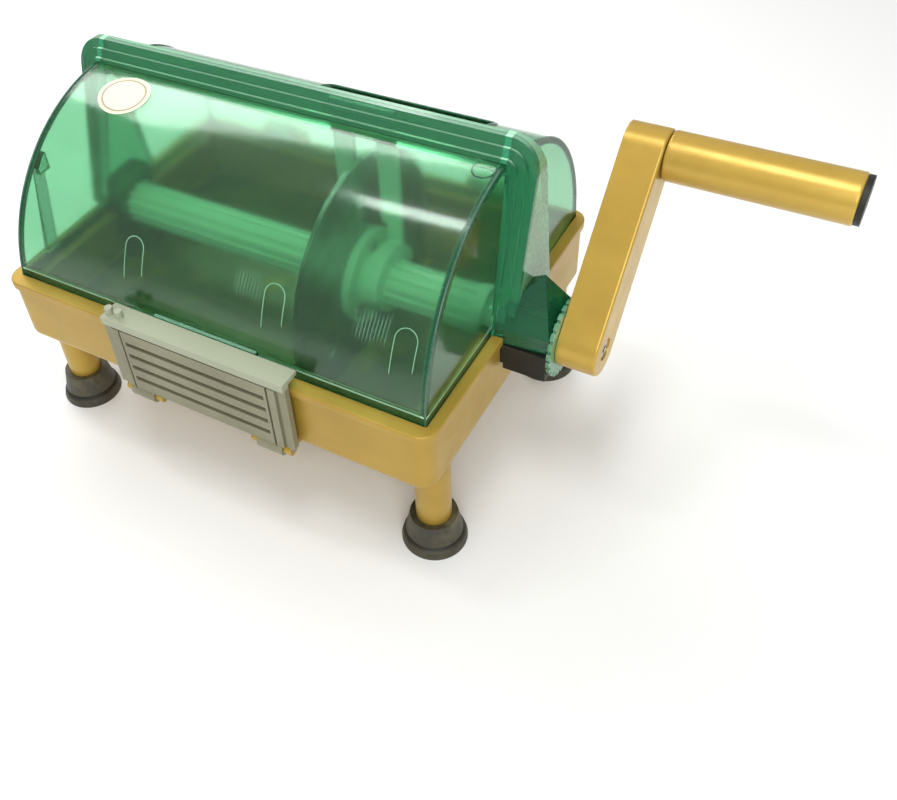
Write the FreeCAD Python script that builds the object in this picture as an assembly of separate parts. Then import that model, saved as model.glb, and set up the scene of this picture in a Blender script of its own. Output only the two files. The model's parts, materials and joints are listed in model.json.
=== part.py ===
"""Rotary vegetable cutter: tray on four suction cups, hinged clear cover, crank-driven blade disc.

Units are millimetres. +X runs along the shaft towards the crank, +Y to the rear, +Z up.
The origin lies on the table, under the middle of the tray.
"""
import FreeCAD, Part
import math
import os

V = FreeCAD.Vector

# Clearances
RUN_FIT = 0.06          # radial gap of a turning fit
SEAT_FIT = 0.1          # gap between pieces that are fixed together
BODY_GAP = 0.4          # gap between pieces that move apart

# Tray
TRAY_LENGTH = 250.0     # over the rim, along the shaft
TRAY_WIDTH = 178.0      # over the rim, front to rear
RIM_TOP = 95.0          # height of the rim above the table
TRAY_DEPTH = 39.0       # rim top to underside of the floor
RIM_CORNER_R = 9.0
RIM_OVERHANG = 1.5      # how far the rim stands out past the wall
RIM_LIP_H = 4.0
WALL_T = 2.6
FLOOR_T = 2.6
FLOOR_EDGE_R = 5.0
LAND_END = 5.6          # flat of the rim outside the cover, at the two ends
LAND_FRONT = 7.4
LAND_REAR = 3.8
LEDGE_DROP = 4.0        # cover seat below the rim top
LEDGE_W = 7.5
LEDGE_T = 2.5
RECESS_CORNER_R = 1.0

# Legs and suction cups
LEG_IN_X = 11.2         # leg axis from the end of the rim
LEG_IN_Y = 20.6
LEG_R = 8.8
LEG_END_Z = 7.6
CUP_RING_R = 11.8
CUP_RING_Z = 18.4
CUP_SHOULDER_R = 14.2
CUP_SHOULDER_Z = 6.8
CUP_GROOVE_R = 13.2
CUP_GROOVE_Z = 5.4
CUP_LIP_R = 16.4
CUP_LIP_Z = 1.2
CUP_LIP_TOP_Z = 4.0
CUP_LIP_TOP_R = 15.6
CUP_HOLLOW_R = 13.6
CUP_HOLLOW_H = 3.0

# Shaft line
AXIS_Y = 1.0
AXIS_Z = 90.6
RIB_TIP_R = 11.75       # over the ribs of the rotor shaft
RIB_ROOT_R = 10.2
RIB_COUNT = 12
RIB_W = 2.6
RIBBED_X0 = -107.0
RIBBED_X1 = 101.5
LEFT_JOURNAL_R = 6.0
LEFT_JOURNAL_X0 = -115.3
RIGHT_JOURNAL_R = 9.0
SPIGOT_R = 6.0          # shaft end inside the crank arm
SPIGOT_LENGTH = 12.0

# Blade disc and hub
DISC_X = 41.0           # middle of the blade
DISC_R = 67.0
DISC_T = 1.2
DISC_EDGE_W = 3.0       # width of the ground bevel
DISC_EDGE_T = 0.2
DISC_HOLE_R = 3.5       # handling hole, on the disc's face
DISC_HOLE_PCD_R = 44.0
HUB_R = 25.0
HUB_T = 4.2
NECK_R = 15.5
RIGHT_NECK_X1 = 58.0
LEFT_NECK_X0 = 24.0
BLADE_SCREW_PCD_R = 20.0
BLADE_SCREW_R = 1.6
BLADE_SCREW_HEAD_R = 3.0
BLADE_SCREW_HEAD_H = 1.8
BLADE_SCREW_COUNT = 3
HOLE_EXTRA = 0.1        # screw hole radius over screw radius

# Blade well in the tray floor
WELL_GAP_R = 3.0
WELL_HALF_W = 7.0
WELL_T = 2.2

# Cover
COVER_T = 2.3
COVER_DROP = 3.7        # cover edge below the rim top
HOOD_Y = 7.0            # centre of the front cover's arc
HOOD_Z = 85.5
DRAFT = 0.05            # end walls come in by this much per mm of height
BACK_Y = 20.3           # centre of the rear cover's arc
BACK_Z = 103.4
JOINT_Y = -12.4         # joint plane of the two covers, where it crosses the rim top
JOINT_LEAN = 0.27       # it goes back by this much per mm of height
FLANGE_HALF_W = 128.5
FLANGE_H = 89.1         # flange height above the rim
FRONT_FLANGE_T = 2.6    # each of the two outer steps of the front flange
FLANGE_STEP = 4.0       # how far each step stands in from the one behind it
FLANGE_STEP_T = 1.6
REAR_FLANGE_Y = 28.5    # back of the rear cover's wedge-shaped flange, at the rim top
REAR_FLANGE_LEAN = -0.165
FLANGE_CORNER_R = 14.0
FEED_X0 = -4.0          # feed opening in the rear cover
FEED_X1 = 88.0
FEED_Y0 = 26.0
FEED_Y1 = 56.0
FEED_CORNER_R = 6.0
RIB_END_W = 7.0         # stiffening rib inside the left end wall
RIB_END_T = 3.0
RIB_END_TOP_Z = 151.0
RIB_END_BOTTOM_Z = 97.5
RIB_END_TOP_Y = -51.5
RIB_END_BOTTOM_Y = -60.5
RIB_END_HEAD = 9.0

# Oval blank label and gate mark on the front cover
LABEL_X = -82.5
LABEL_GAP = 4.4         # label's rear edge to the flange
LABEL_HALF_X = 14.5
LABEL_HALF_ARC = 12.6
LABEL_T = 0.25
GATE_X = 107.7
GATE_ANGLE = 6.3
GATE_R = 5.2
GATE_H = 0.6

# Bearings
BLOCK_HALF_W = 18.0     # right bearing in the tray notch
BLOCK_FLANGE = 3.0
BLOCK_BOTTOM_Z = 79.0
BLOCK_OUT_X = 146.4
SPLIT_GAP = 0.3
HOUSING_IN_X = 114.0
HOUSING_EAVES_Z = 99.0
HOUSING_APEX_X = 136.5
HOUSING_APEX_Z = 123.0
HOUSING_APEX_HALF = 0.5
HOUSING_END_HALF_W = 15.5
LEFT_BLOCK_X0 = -115.5
LEFT_BLOCK_X1 = -108.5
LEFT_BLOCK_HALF_W = 14.0
LEFT_CAP_TOP_Z = 112.0
LEFT_NOTCH_EXTRA = 1.0

# Fork beside the blade, clamped in a pocket between the two flanges
FORK_Y = 10.0
FORK_T = 3.0
FORK_LEFT_X0 = 23.5
FORK_LEFT_X1 = 34.0
FORK_RIGHT_X0 = 47.0
FORK_RIGHT_X1 = 57.5
FORK_HEIGHT = 86.4      # top of the fork above the rim
FORK_BAR_H = 11.5
FORK_HUB_GAP = 2.5      # legs end this far outside the hub flanges
FORK_FOOT_LEFT_X1 = 32.5
FORK_FOOT_RIGHT_X0 = 49.8
SADDLE_T = 4.0
SADDLE_W = 8.0

# Collars
RING_X0 = 102.0
RING_X1 = 108.2
RING_R = 13.0
DRIVE_X0 = 146.8
DRIVE_X1 = 148.6
DRIVE_R = 19.5
DRIVE_TOOTH = 1.8
DRIVE_TEETH = 24

# Crank
ARM_X0 = 148.8
ARM_T = 19.1
ARM_R = 11.6            # round end at the grip
ARM_HUB_R = 13.4        # round end at the shaft
CRANK_R = 90.4
CRANK_ANGLE = 49.7      # degrees above the horizontal, to the rear
GRIP_R = 11.4
GRIP_LENGTH = 80.4
GRIP_EDGE_R = 1.2
GRIP_AXLE_R = 4.5
GRIP_AXLE_HEAD_R = 8.0
GRIP_AXLE_HEAD_H = 3.0
CAP_R = 10.8
CAP_T = 2.6
ARM_SCREW_R = 2.5
ARM_SCREW_HEAD_R = 5.5
ARM_SCREW_HEAD_H = 3.2
CROSS_HALF_L = 3.3      # cross recess of the arm screw
CROSS_HALF_W = 0.6
CROSS_DEPTH = 1.6
ARM_POCKET_DEPTH = 4.0
ARM_EDGE_R = 1.2

# Lid hinge at the rear rim
HINGE_OUT = 5.0         # hinge axis behind the rim
HINGE_DROP = 1.0        # and below the rim top
HINGE_X = 68.0
KNUCKLE_R = 4.2
KNUCKLE_HALF_L = 8.0
LUG_L = 6.0
LUG_GAP = 0.3
HINGE_PIN_R = 2.0

# Latch on the front wall
LATCH_X = 1.7
LATCH_HALF_L = 53.0
LATCH_PIN_OUT = 2.4     # pin axis in front of the rim
LATCH_PIN_Z = 55.2
LATCH_PLATE_OUT = 3.6   # front of the plate, in front of the rim
LATCH_PLATE_T = 2.4
LATCH_TOP_Z = 102.5
LATCH_BOTTOM_Z = 58.6
LATCH_SLAT_COUNT = 5
LATCH_SLAT_T = 2.2      # how far the slatted panel stands out from the plate
LATCH_SLOT_H = 2.9      # slot between two slats
LATCH_SLOT_DEPTH = 3.4
LATCH_SLOT_END = 12.0   # slots end this far from the latch's ends
LATCH_GROOVE_W = 1.4    # upright grooves beside the slots and at the panel's edge
LATCH_TOP_GAP = 1.0     # groove under the top strip
LATCH_STRIP_H = 4.5
LATCH_STRIP_REACH = 9.3
LATCH_SIDE_STEP = 4.0
LATCH_LOBE_R = 4.4
LATCH_LOBE_L = 14.0
LATCH_LOBE_X = 39.0     # lobe middle from the latch middle
LATCH_NUB_R = 2.0
LATCH_NUB_H = 4.0
LATCH_PIN_R = 1.5
LATCH_LUG_L = 4.0
LATCH_LUG_R = 3.0
LATCH_NUB_PLACES = (3.0, 9.0)  # from the left end
LATCH_HOOK_T = 2.5      # thin part of the top strip that reaches over the rim
CATCH_L = 60.0          # ridge on the front cover that the latch snaps against
CATCH_Z = 98.5
CATCH_H = 3.5
CATCH_DEPTH = 4.0
CATCH_OUT = 2.0         # how far the ridge stands out from the cover

BIG = 400.0             # half size of helper solids


def box(x0, x1, y0, y1, z0, z1):
    """Box between two corners."""
    return Part.makeBox(x1 - x0, y1 - y0, z1 - z0, V(x0, y0, z0))


def cyl_x(y, z, r, x0, x1):
    """Cylinder along X."""
    return Part.makeCylinder(r, x1 - x0, V(x0, y, z), V(1, 0, 0))


def cyl_z(x, y, r, z0, z1):
    """Cylinder along Z."""
    return Part.makeCylinder(r, z1 - z0, V(x, y, z0), V(0, 0, 1))


def fuse(shapes):
    """One solid from several overlapping ones."""
    result = shapes[0]
    for shape in shapes[1:]:
        result = result.fuse(shape)
    return result.removeSplitter()


def cut(shape, tools):
    """Shape with each tool taken away."""
    for tool in tools:
        shape = shape.cut(tool)
    return shape


def rounded_slab(x0, x1, y0, y1, z0, z1, radius):
    """Slab whose four upright edges are rounded."""
    slab = box(x0, x1, y0, y1, z0, z1)
    edges = [e for e in slab.Edges if abs(e.tangentAt(e.FirstParameter).z) > 0.9]
    return slab.makeFillet(radius, edges)


def prism_x(points, x0, x1):
    """Prism along X from an outline of (y, z) points."""
    corners = [V(x0, y, z) for y, z in points]
    face = Part.Face(Part.makePolygon(corners + corners[:1]))
    return face.extrude(V(x1 - x0, 0, 0))


def prism_z(points, z0, z1):
    """Prism along Z from an outline of (x, y) points."""
    corners = [V(x, y, z0) for x, y in points]
    face = Part.Face(Part.makePolygon(corners + corners[:1]))
    return face.extrude(V(0, 0, z1 - z0))


def ring_solid(points, x, y):
    """Solid of revolution about an upright line, from an outline of (r, z) points."""
    corners = [V(x + r, y, z) for r, z in points]
    face = Part.Face(Part.makePolygon(corners + corners[:1]))
    return face.revolve(V(x, y, 0), V(0, 0, 1), 360)


def shaft_solid(points):
    """Solid of revolution about the shaft axis, from an outline of (x, r) points."""
    corners = [V(x, AXIS_Y + r, AXIS_Z) for x, r in points]
    face = Part.Face(Part.makePolygon(corners + corners[:1]))
    return face.revolve(V(0, AXIS_Y, AXIS_Z), V(1, 0, 0), 360)


def around_shaft(shape, index, count):
    """Copy of a shape, turned about the shaft to one of count equal steps."""
    copy = shape.copy()
    copy.rotate(V(0, AXIS_Y, AXIS_Z), V(1, 0, 0), index * 360.0 / count)
    return copy


def plane_y(y, lean, z):
    """Y of a leaning plane at one height, from its Y at the rim top."""
    return y + lean * (z - RIM_TOP)


def behind_plane(y, lean):
    """Big solid behind a leaning plane."""
    return prism_x([(plane_y(y, lean, -BIG), -BIG), (BIG, -BIG), (BIG, BIG), (plane_y(y, lean, BIG), BIG)],
                   -BIG, BIG)


# Sizes that follow from the ones above
END_X = TRAY_LENGTH / 2
SIDE_Y = TRAY_WIDTH / 2
FLOOR_Z = RIM_TOP - TRAY_DEPTH
HINGE_Y = SIDE_Y + HINGE_OUT
HINGE_Z = RIM_TOP - HINGE_DROP
LATCH_PIN_Y = -SIDE_Y - LATCH_PIN_OUT
LATCH_PLATE_Y0 = -SIDE_Y - LATCH_PLATE_OUT
INSIDE_FLOOR_Z = FLOOR_Z + FLOOR_T
RECESS_X = END_X - LAND_END
RECESS_Y0 = LAND_FRONT - SIDE_Y
RECESS_Y1 = SIDE_Y - LAND_REAR
COVER_END_X = RECESS_X - BODY_GAP
COVER_EDGE_Z = RIM_TOP - COVER_DROP
COVER_REAR_Y = RECESS_Y1 - BODY_GAP
COVER_FRONT_Y = RECESS_Y0 + BODY_GAP
HOOD_R = math.hypot(HOOD_Y - COVER_FRONT_Y, HOOD_Z - COVER_EDGE_Z)
FLANGE_FRONT_Y = plane_y(JOINT_Y - FRONT_FLANGE_T - FLANGE_STEP_T * 2, JOINT_LEAN, HOOD_Z + HOOD_R)
CATCH_Y = HOOD_Y - math.sqrt(HOOD_R ** 2 - (CATCH_Z - HOOD_Z) ** 2) - CATCH_OUT
LABEL_EDGE_ANGLE = math.asin((HOOD_Y - FLANGE_FRONT_Y + LABEL_GAP) / HOOD_R)
LABEL_ANGLE = math.degrees(LABEL_EDGE_ANGLE + LABEL_HALF_ARC / HOOD_R)
BACK_R = COVER_REAR_Y - BACK_Y
SPLIT_Z = AXIS_Z + SPLIT_GAP
WELL_R = DISC_R + WELL_GAP_R
BLOCK_Y0 = AXIS_Y - BLOCK_HALF_W
BLOCK_Y1 = AXIS_Y + BLOCK_HALF_W
HEAD_Y = AXIS_Y + CRANK_R * math.cos(math.radians(CRANK_ANGLE))
HEAD_Z = AXIS_Z + CRANK_R * math.sin(math.radians(CRANK_ANGLE))
ARM_X1 = ARM_X0 + ARM_T
GRIP_X0 = ARM_X1 + BODY_GAP
GRIP_X1 = GRIP_X0 + GRIP_LENGTH
RIGHT_FLANGE_X0 = DISC_X + DISC_T / 2 + SEAT_FIT / 2
RIGHT_FLANGE_X1 = RIGHT_FLANGE_X0 + HUB_T
LEFT_FLANGE_X1 = DISC_X - DISC_T / 2 - SEAT_FIT / 2
LEFT_FLANGE_X0 = LEFT_FLANGE_X1 - HUB_T


def leg_places():
    """The four leg axes, as (name, x, y)."""
    x = END_X - LEG_IN_X
    y = SIDE_Y - LEG_IN_Y
    return [("front_left", -x, -y), ("front_right", x, -y), ("rear_left", -x, y), ("rear_right", x, y)]


def tray_shell():
    """Walls, floor, rim and the ledge that carries the cover."""
    wall_x = END_X - RIM_OVERHANG
    wall_y = SIDE_Y - RIM_OVERHANG
    corner = RIM_CORNER_R - RIM_OVERHANG
    body = rounded_slab(-wall_x, wall_x, -wall_y, wall_y, FLOOR_Z, RIM_TOP, corner)
    bottom = [e for e in body.Edges if e.BoundBox.ZMax < FLOOR_Z + 0.01]
    body = body.makeFillet(FLOOR_EDGE_R, bottom)
    rim = rounded_slab(-END_X, END_X, -SIDE_Y, SIDE_Y, RIM_TOP - RIM_LIP_H, RIM_TOP, RIM_CORNER_R)
    top = [e for e in rim.Edges if e.BoundBox.ZMin > RIM_TOP - 0.01]
    rim = rim.makeFillet(RIM_OVERHANG / 2, top)
    shell = body.fuse(rim)
    in_x = wall_x - WALL_T
    in_y = wall_y - WALL_T
    ledge_z = RIM_TOP - LEDGE_DROP
    pocket = rounded_slab(-in_x, in_x, -in_y, in_y, INSIDE_FLOOR_Z, ledge_z - LEDGE_T, corner - WALL_T)
    mouth = rounded_slab(LEDGE_W - RECESS_X, RECESS_X - LEDGE_W, RECESS_Y0 + LEDGE_W, RECESS_Y1 - LEDGE_W,
                         ledge_z - LEDGE_T - 1, RIM_TOP + 1, RECESS_CORNER_R)
    recess = rounded_slab(-RECESS_X, RECESS_X, RECESS_Y0, RECESS_Y1, ledge_z, RIM_TOP + 1, RECESS_CORNER_R)
    return cut(shell, [pocket, mouth, recess])


def well_solid(radius, half_width, z_top):
    """Lower part of a disc-shaped trough under the shaft."""
    round_part = cyl_x(AXIS_Y, AXIS_Z, radius, DISC_X - half_width, DISC_X + half_width)
    return round_part.common(box(-BIG, BIG, -BIG, BIG, -BIG, z_top))


def hinge_lugs():
    """Rear lugs of the tray that hold the lid's hinge pins."""
    lugs = []
    for side in (-1, 1):
        for end in (-1, 1):
            near = side * HINGE_X + end * (KNUCKLE_HALF_L + LUG_GAP)
            x0 = min(near, near + end * LUG_L)
            x1 = x0 + LUG_L
            eye = cyl_x(HINGE_Y, HINGE_Z, KNUCKLE_R, x0, x1)
            arm = box(x0, x1, SIDE_Y - RIM_OVERHANG - 1, HINGE_Y, HINGE_Z - KNUCKLE_R, RIM_TOP - 1)
            lugs.append(eye.fuse(arm))
    return lugs


def latch_lug_spans():
    """X spans of the tray lugs on both sides of each latch lobe."""
    spans = []
    for side in (-1, 1):
        middle = LATCH_X + side * LATCH_LOBE_X
        for end in (-1, 1):
            near = middle + end * (LATCH_LOBE_L / 2 + LUG_GAP)
            far = near + end * LATCH_LUG_L
            spans.append((min(near, far), max(near, far)))
    return spans


def latch_lugs():
    """Lugs on the front wall that hold the latch pins."""
    lugs = []
    wall_y = RIM_OVERHANG - SIDE_Y
    for x0, x1 in latch_lug_spans():
        eye = cyl_x(LATCH_PIN_Y, LATCH_PIN_Z, LATCH_LUG_R, x0, x1)
        root = box(x0, x1, LATCH_PIN_Y, wall_y + FLOOR_EDGE_R, LATCH_PIN_Z, LATCH_BOTTOM_Z - LUG_GAP)
        lugs.append(eye.fuse(root))
    return lugs


def make_tray():
    """Tray with legs, blade well, hinge lugs and bearing notches in one moulding."""
    legs = [cyl_z(x, y, LEG_R, LEG_END_Z, INSIDE_FLOOR_Z) for _, x, y in leg_places()]
    well = well_solid(WELL_R + WELL_T, WELL_HALF_W + WELL_T, INSIDE_FLOOR_Z)
    tray = fuse([tray_shell(), well] + legs + hinge_lugs() + latch_lugs())
    notch = box(RECESS_X - LEDGE_W - 1, END_X + 1, BLOCK_Y0, BLOCK_Y1, BLOCK_BOTTOM_Z, RIM_TOP + 1)
    left_half = LEFT_BLOCK_HALF_W + LEFT_NOTCH_EXTRA
    left_notch = box(-RECESS_X, LEDGE_W + 1 - RECESS_X, AXIS_Y - left_half, AXIS_Y + left_half,
                     INSIDE_FLOOR_Z, RIM_TOP - LEDGE_DROP + 1)
    holes = [cyl_x(HINGE_Y, HINGE_Z, HINGE_PIN_R + SEAT_FIT / 2, -BIG, BIG),
             cyl_x(LATCH_PIN_Y, LATCH_PIN_Z, LATCH_PIN_R + SEAT_FIT / 2, -BIG, BIG)]
    return cut(tray, [well_solid(WELL_R, WELL_HALF_W, RIM_TOP), notch, left_notch] + holes)


def make_cup(x, y):
    """Rubber suction cup pushed over the end of one leg."""
    outline = [(0, 0), (CUP_LIP_R, 0), (CUP_LIP_R, CUP_LIP_Z), (CUP_LIP_TOP_R, CUP_LIP_TOP_Z),
               (CUP_GROOVE_R, CUP_GROOVE_Z), (CUP_SHOULDER_R, CUP_SHOULDER_Z), (CUP_RING_R, CUP_RING_Z),
               (0, CUP_RING_Z)]
    cup = ring_solid(outline, x, y)
    socket = cyl_z(x, y, LEG_R + SEAT_FIT, LEG_END_Z - SEAT_FIT, CUP_RING_Z + 1)
    hollow = Part.makeCone(CUP_HOLLOW_R, CUP_HOLLOW_R / 2, CUP_HOLLOW_H, V(x, y, 0), V(0, 0, 1))
    return cut(cup, [socket, hollow])


def make_lower_bearing_right():
    """Black bearing block that drops into the notch of the tray's right wall."""
    wall_in = RECESS_X - LEDGE_W - SEAT_FIT
    wall_out = END_X + SEAT_FIT
    top = AXIS_Z - SPLIT_GAP
    y0 = BLOCK_Y0 - BLOCK_FLANGE
    y1 = BLOCK_Y1 + BLOCK_FLANGE
    web = box(wall_in - 1, wall_out + 1, BLOCK_Y0 + SEAT_FIT, BLOCK_Y1 - SEAT_FIT,
              BLOCK_BOTTOM_Z + SEAT_FIT, top)
    inner = box(wall_in - BLOCK_FLANGE, wall_in, y0, y1, BLOCK_BOTTOM_Z - BLOCK_FLANGE, top)
    outer = box(wall_out, BLOCK_OUT_X, BLOCK_Y0, BLOCK_Y1, BLOCK_BOTTOM_Z - BLOCK_FLANGE, top)
    bore = cyl_x(AXIS_Y, AXIS_Z, RIGHT_JOURNAL_R + RUN_FIT, -BIG, BIG)
    return cut(fuse([web, inner, outer]), [bore])


def make_lower_bearing_left():
    """Black saddle that carries the left journal, standing on the tray floor."""
    block = box(LEFT_BLOCK_X0, LEFT_BLOCK_X1, AXIS_Y - LEFT_BLOCK_HALF_W, AXIS_Y + LEFT_BLOCK_HALF_W,
                INSIDE_FLOOR_Z, AXIS_Z - SPLIT_GAP)
    bore = cyl_x(AXIS_Y, AXIS_Z, LEFT_JOURNAL_R + RUN_FIT, -BIG, BIG)
    return block.cut(bore)


def housing_outline(z, grow):
    """Outline of the right bearing housing at one height, narrower at its outer end."""
    inner = BLOCK_HALF_W - BODY_GAP + grow
    outer = HOUSING_END_HALF_W + grow
    x1 = BLOCK_OUT_X + grow
    corners = [V(HOUSING_IN_X, AXIS_Y - inner, z), V(x1, AXIS_Y - outer, z), V(x1, AXIS_Y + outer, z),
               V(HOUSING_IN_X, AXIS_Y + inner, z)]
    return Part.makePolygon(corners + corners[:1])


def housing_envelope(grow):
    """Outside of the right bearing housing, a box with a pointed roof, grown by a gap."""
    half = HOUSING_APEX_HALF + grow
    peak = [V(HOUSING_APEX_X + dx * half, AXIS_Y + dy * half, HOUSING_APEX_Z + grow)
            for dx, dy in ((-1, -1), (1, -1), (1, 1), (-1, 1))]
    eaves = housing_outline(HOUSING_EAVES_Z, grow)
    walls = Part.makeLoft([housing_outline(SPLIT_Z, grow), eaves], True, True)
    roof = Part.makeLoft([eaves, Part.makePolygon(peak + peak[:1])], True, True)
    return walls.fuse(roof).removeSplitter()


def make_bearing_cap_right():
    """Pointed green housing over the right journal, shaped to the covers' end walls."""
    bore = cyl_x(AXIS_Y, AXIS_Z, RIGHT_JOURNAL_R + RUN_FIT, -BIG, BIG)
    inside = box(-BIG, RECESS_X - BODY_GAP, -BIG, BIG, -BIG, COVER_EDGE_Z + 1)
    return cut(housing_envelope(0), [bore, hood_solid(-SEAT_FIT), back_solid(-SEAT_FIT), inside])


def make_bearing_cap_left():
    """Green bearing cap inside the left end wall, over the left journal."""
    cap = box(LEFT_BLOCK_X0, LEFT_BLOCK_X1, AXIS_Y - LEFT_BLOCK_HALF_W, AXIS_Y + LEFT_BLOCK_HALF_W,
              SPLIT_Z, LEFT_CAP_TOP_Z)
    edges = [e for e in cap.Edges if e.BoundBox.ZMin > LEFT_CAP_TOP_Z - 0.01 and e.BoundBox.YLength < 1]
    cap = cap.makeFillet(LEFT_BLOCK_HALF_W / 2, edges)
    bore = cyl_x(AXIS_Y, AXIS_Z, LEFT_JOURNAL_R + RUN_FIT, -BIG, BIG)
    return cap.cut(bore)


def flange_plate(y0, lean0, y1, lean1, inset):
    """Solid flange plate between two leaning planes, with two round top corners."""
    half = FLANGE_HALF_W - inset
    top = RIM_TOP + FLANGE_H - inset
    slab = box(-half, half, -SIDE_Y, SIDE_Y, RIM_TOP + BODY_GAP, top)
    edges = [e for e in slab.Edges if e.BoundBox.ZMin > top - 0.01 and e.BoundBox.XLength < 0.01]
    slab = slab.makeFillet(FLANGE_CORNER_R - inset, edges)
    return slab.common(behind_plane(y0, lean0)).cut(behind_plane(y1, lean1))


def drafted_span(half, z0):
    """Solid between the two end walls, which come in towards the top."""
    top_half = half - DRAFT * BIG
    bottom_half = half + DRAFT * (RIM_TOP - z0)
    corners = [V(-bottom_half, -BIG, z0), V(bottom_half, -BIG, z0), V(top_half, -BIG, RIM_TOP + BIG),
               V(-top_half, -BIG, RIM_TOP + BIG)]
    return Part.Face(Part.makePolygon(corners + corners[:1])).extrude(V(0, BIG * 2, 0))


def hood_solid(inset):
    """Front cover as a solid, with its skin taken in by an inset."""
    round_part = cyl_x(HOOD_Y, HOOD_Z, HOOD_R - inset, -BIG, BIG)
    span = drafted_span(COVER_END_X - inset, COVER_EDGE_Z)
    return round_part.common(span).cut(behind_plane(JOINT_Y, JOINT_LEAN))


def end_rib():
    """Slanted rib with a square head, inside the left end wall."""
    half = RIB_END_W / 2
    x0 = COVER_T / 2 - COVER_END_X
    x1 = x0 + COVER_T / 2 + RIB_END_T
    bar = prism_x([(RIB_END_BOTTOM_Y - half, RIB_END_BOTTOM_Z), (RIB_END_BOTTOM_Y + half, RIB_END_BOTTOM_Z),
                   (RIB_END_TOP_Y + half, RIB_END_TOP_Z), (RIB_END_TOP_Y - half, RIB_END_TOP_Z)], x0, x1)
    head = box(x0, x1 + RIB_END_T, RIB_END_TOP_Y - half, RIB_END_TOP_Y + half, RIB_END_TOP_Z - RIB_END_HEAD,
               RIB_END_TOP_Z)
    return [bar, head]


def on_hood(x, angle, tool):
    """Place a tool that points up +Z so that it stands on the front cover's arc."""
    tool.translate(V(x, HOOD_Y, HOOD_Z))
    tool.rotate(V(x, HOOD_Y, HOOD_Z), V(1, 0, 0), angle)
    return tool


def hood_skin(r0, r1):
    """Thin cylindrical layer outside the front cover."""
    return cyl_x(HOOD_Y, HOOD_Z, r1, -BIG, BIG).cut(cyl_x(HOOD_Y, HOOD_Z, r0, -BIG - 1, BIG + 1))


def make_front_cover():
    """Clear front cover: round hood, two end walls and its stepped flange."""
    plates = [flange_plate(JOINT_Y - FRONT_FLANGE_T, JOINT_LEAN, JOINT_Y, JOINT_LEAN, 0)]
    for step in (1, 2):
        y0 = JOINT_Y - FRONT_FLANGE_T - FLANGE_STEP_T * step
        plates.append(flange_plate(y0, JOINT_LEAN, y0 + FLANGE_STEP_T, JOINT_LEAN, FLANGE_STEP * step))
    catch = box(LATCH_X - CATCH_L / 2, LATCH_X + CATCH_L / 2, CATCH_Y, CATCH_Y + CATCH_DEPTH,
                CATCH_Z, CATCH_Z + CATCH_H)
    gate = on_hood(GATE_X, GATE_ANGLE, cyl_z(0, 0, GATE_R, HOOD_R - COVER_T, HOOD_R + GATE_H * 2))
    gate = gate.common(cyl_x(HOOD_Y, HOOD_Z, HOOD_R + GATE_H, -BIG, BIG))
    cover = hood_solid(0).fuse(plates + [catch, gate])
    room = hood_solid(COVER_T)
    room = room.fuse(room.translated(V(0, 1, 0)))
    ribs = [piece.common(hood_solid(0)) for piece in end_rib()]
    cover = fuse([cover.cut(room)] + ribs)
    return cut(cover, [housing_envelope(SEAT_FIT), fork_pocket()])


def back_solid(inset):
    """Rear cover as a solid, open-ended to the front."""
    radius = BACK_R - inset
    profile = fuse([box(-BIG, BIG, -BIG, BACK_Y + 1, BACK_Z, BACK_Z + radius),
                    cyl_x(BACK_Y, BACK_Z, radius, -BIG, BIG).common(box(-BIG, BIG, BACK_Y, BIG, BACK_Z, BIG)),
                    box(-BIG, BIG, -BIG, BACK_Y + radius, COVER_EDGE_Z, BACK_Z)])
    return profile.common(drafted_span(COVER_END_X - inset, COVER_EDGE_Z))


def cover_knuckles():
    """Hinge eyes of the rear cover, reaching over the tray's rear rim."""
    eyes = []
    for side in (-1, 1):
        x0 = side * HINGE_X - KNUCKLE_HALF_L
        x1 = side * HINGE_X + KNUCKLE_HALF_L
        over_rim = RIM_TOP + BODY_GAP
        wall = COVER_REAR_Y - COVER_T / 2
        clear = SIDE_Y + BODY_GAP
        bridge = prism_x([(wall, over_rim), (clear, over_rim), (HINGE_Y - KNUCKLE_R, HINGE_Z),
                          (HINGE_Y + KNUCKLE_R, HINGE_Z), (HINGE_Y + KNUCKLE_R - 1, HINGE_Z + KNUCKLE_R),
                          (HINGE_Y - 1, HINGE_Z + KNUCKLE_R * 2), (wall, HINGE_Z + KNUCKLE_R * 2)], x0, x1)
        eyes.append(bridge.fuse(cyl_x(HINGE_Y, HINGE_Z, KNUCKLE_R, x0, x1)))
    return eyes


def fork_pocket():
    """Pocket for the fork's bar, partly in each flange."""
    return box(FORK_LEFT_X0 - SEAT_FIT, FORK_RIGHT_X1 + SEAT_FIT, FORK_Y - SEAT_FIT,
               FORK_Y + FORK_T + SEAT_FIT, BACK_Z, RIM_TOP + FORK_HEIGHT + SEAT_FIT)


def make_rear_cover():
    """Clear rear cover with its flange, feed opening and hinge eyes."""
    y0 = JOINT_Y + SEAT_FIT
    flange = flange_plate(y0, JOINT_LEAN, REAR_FLANGE_Y, REAR_FLANGE_LEAN, 0)
    body = back_solid(0).common(behind_plane(y0, JOINT_LEAN))
    cover = body.fuse([flange] + cover_knuckles())
    room = back_solid(COVER_T)
    feed = rounded_slab(FEED_X0, FEED_X1, FEED_Y0, FEED_Y1, BACK_Z, BIG, FEED_CORNER_R)
    pin = cyl_x(HINGE_Y, HINGE_Z, HINGE_PIN_R + RUN_FIT, -BIG, BIG)
    return cut(cover, [room, feed, fork_pocket(), pin, housing_envelope(SEAT_FIT)]).removeSplitter()


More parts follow.
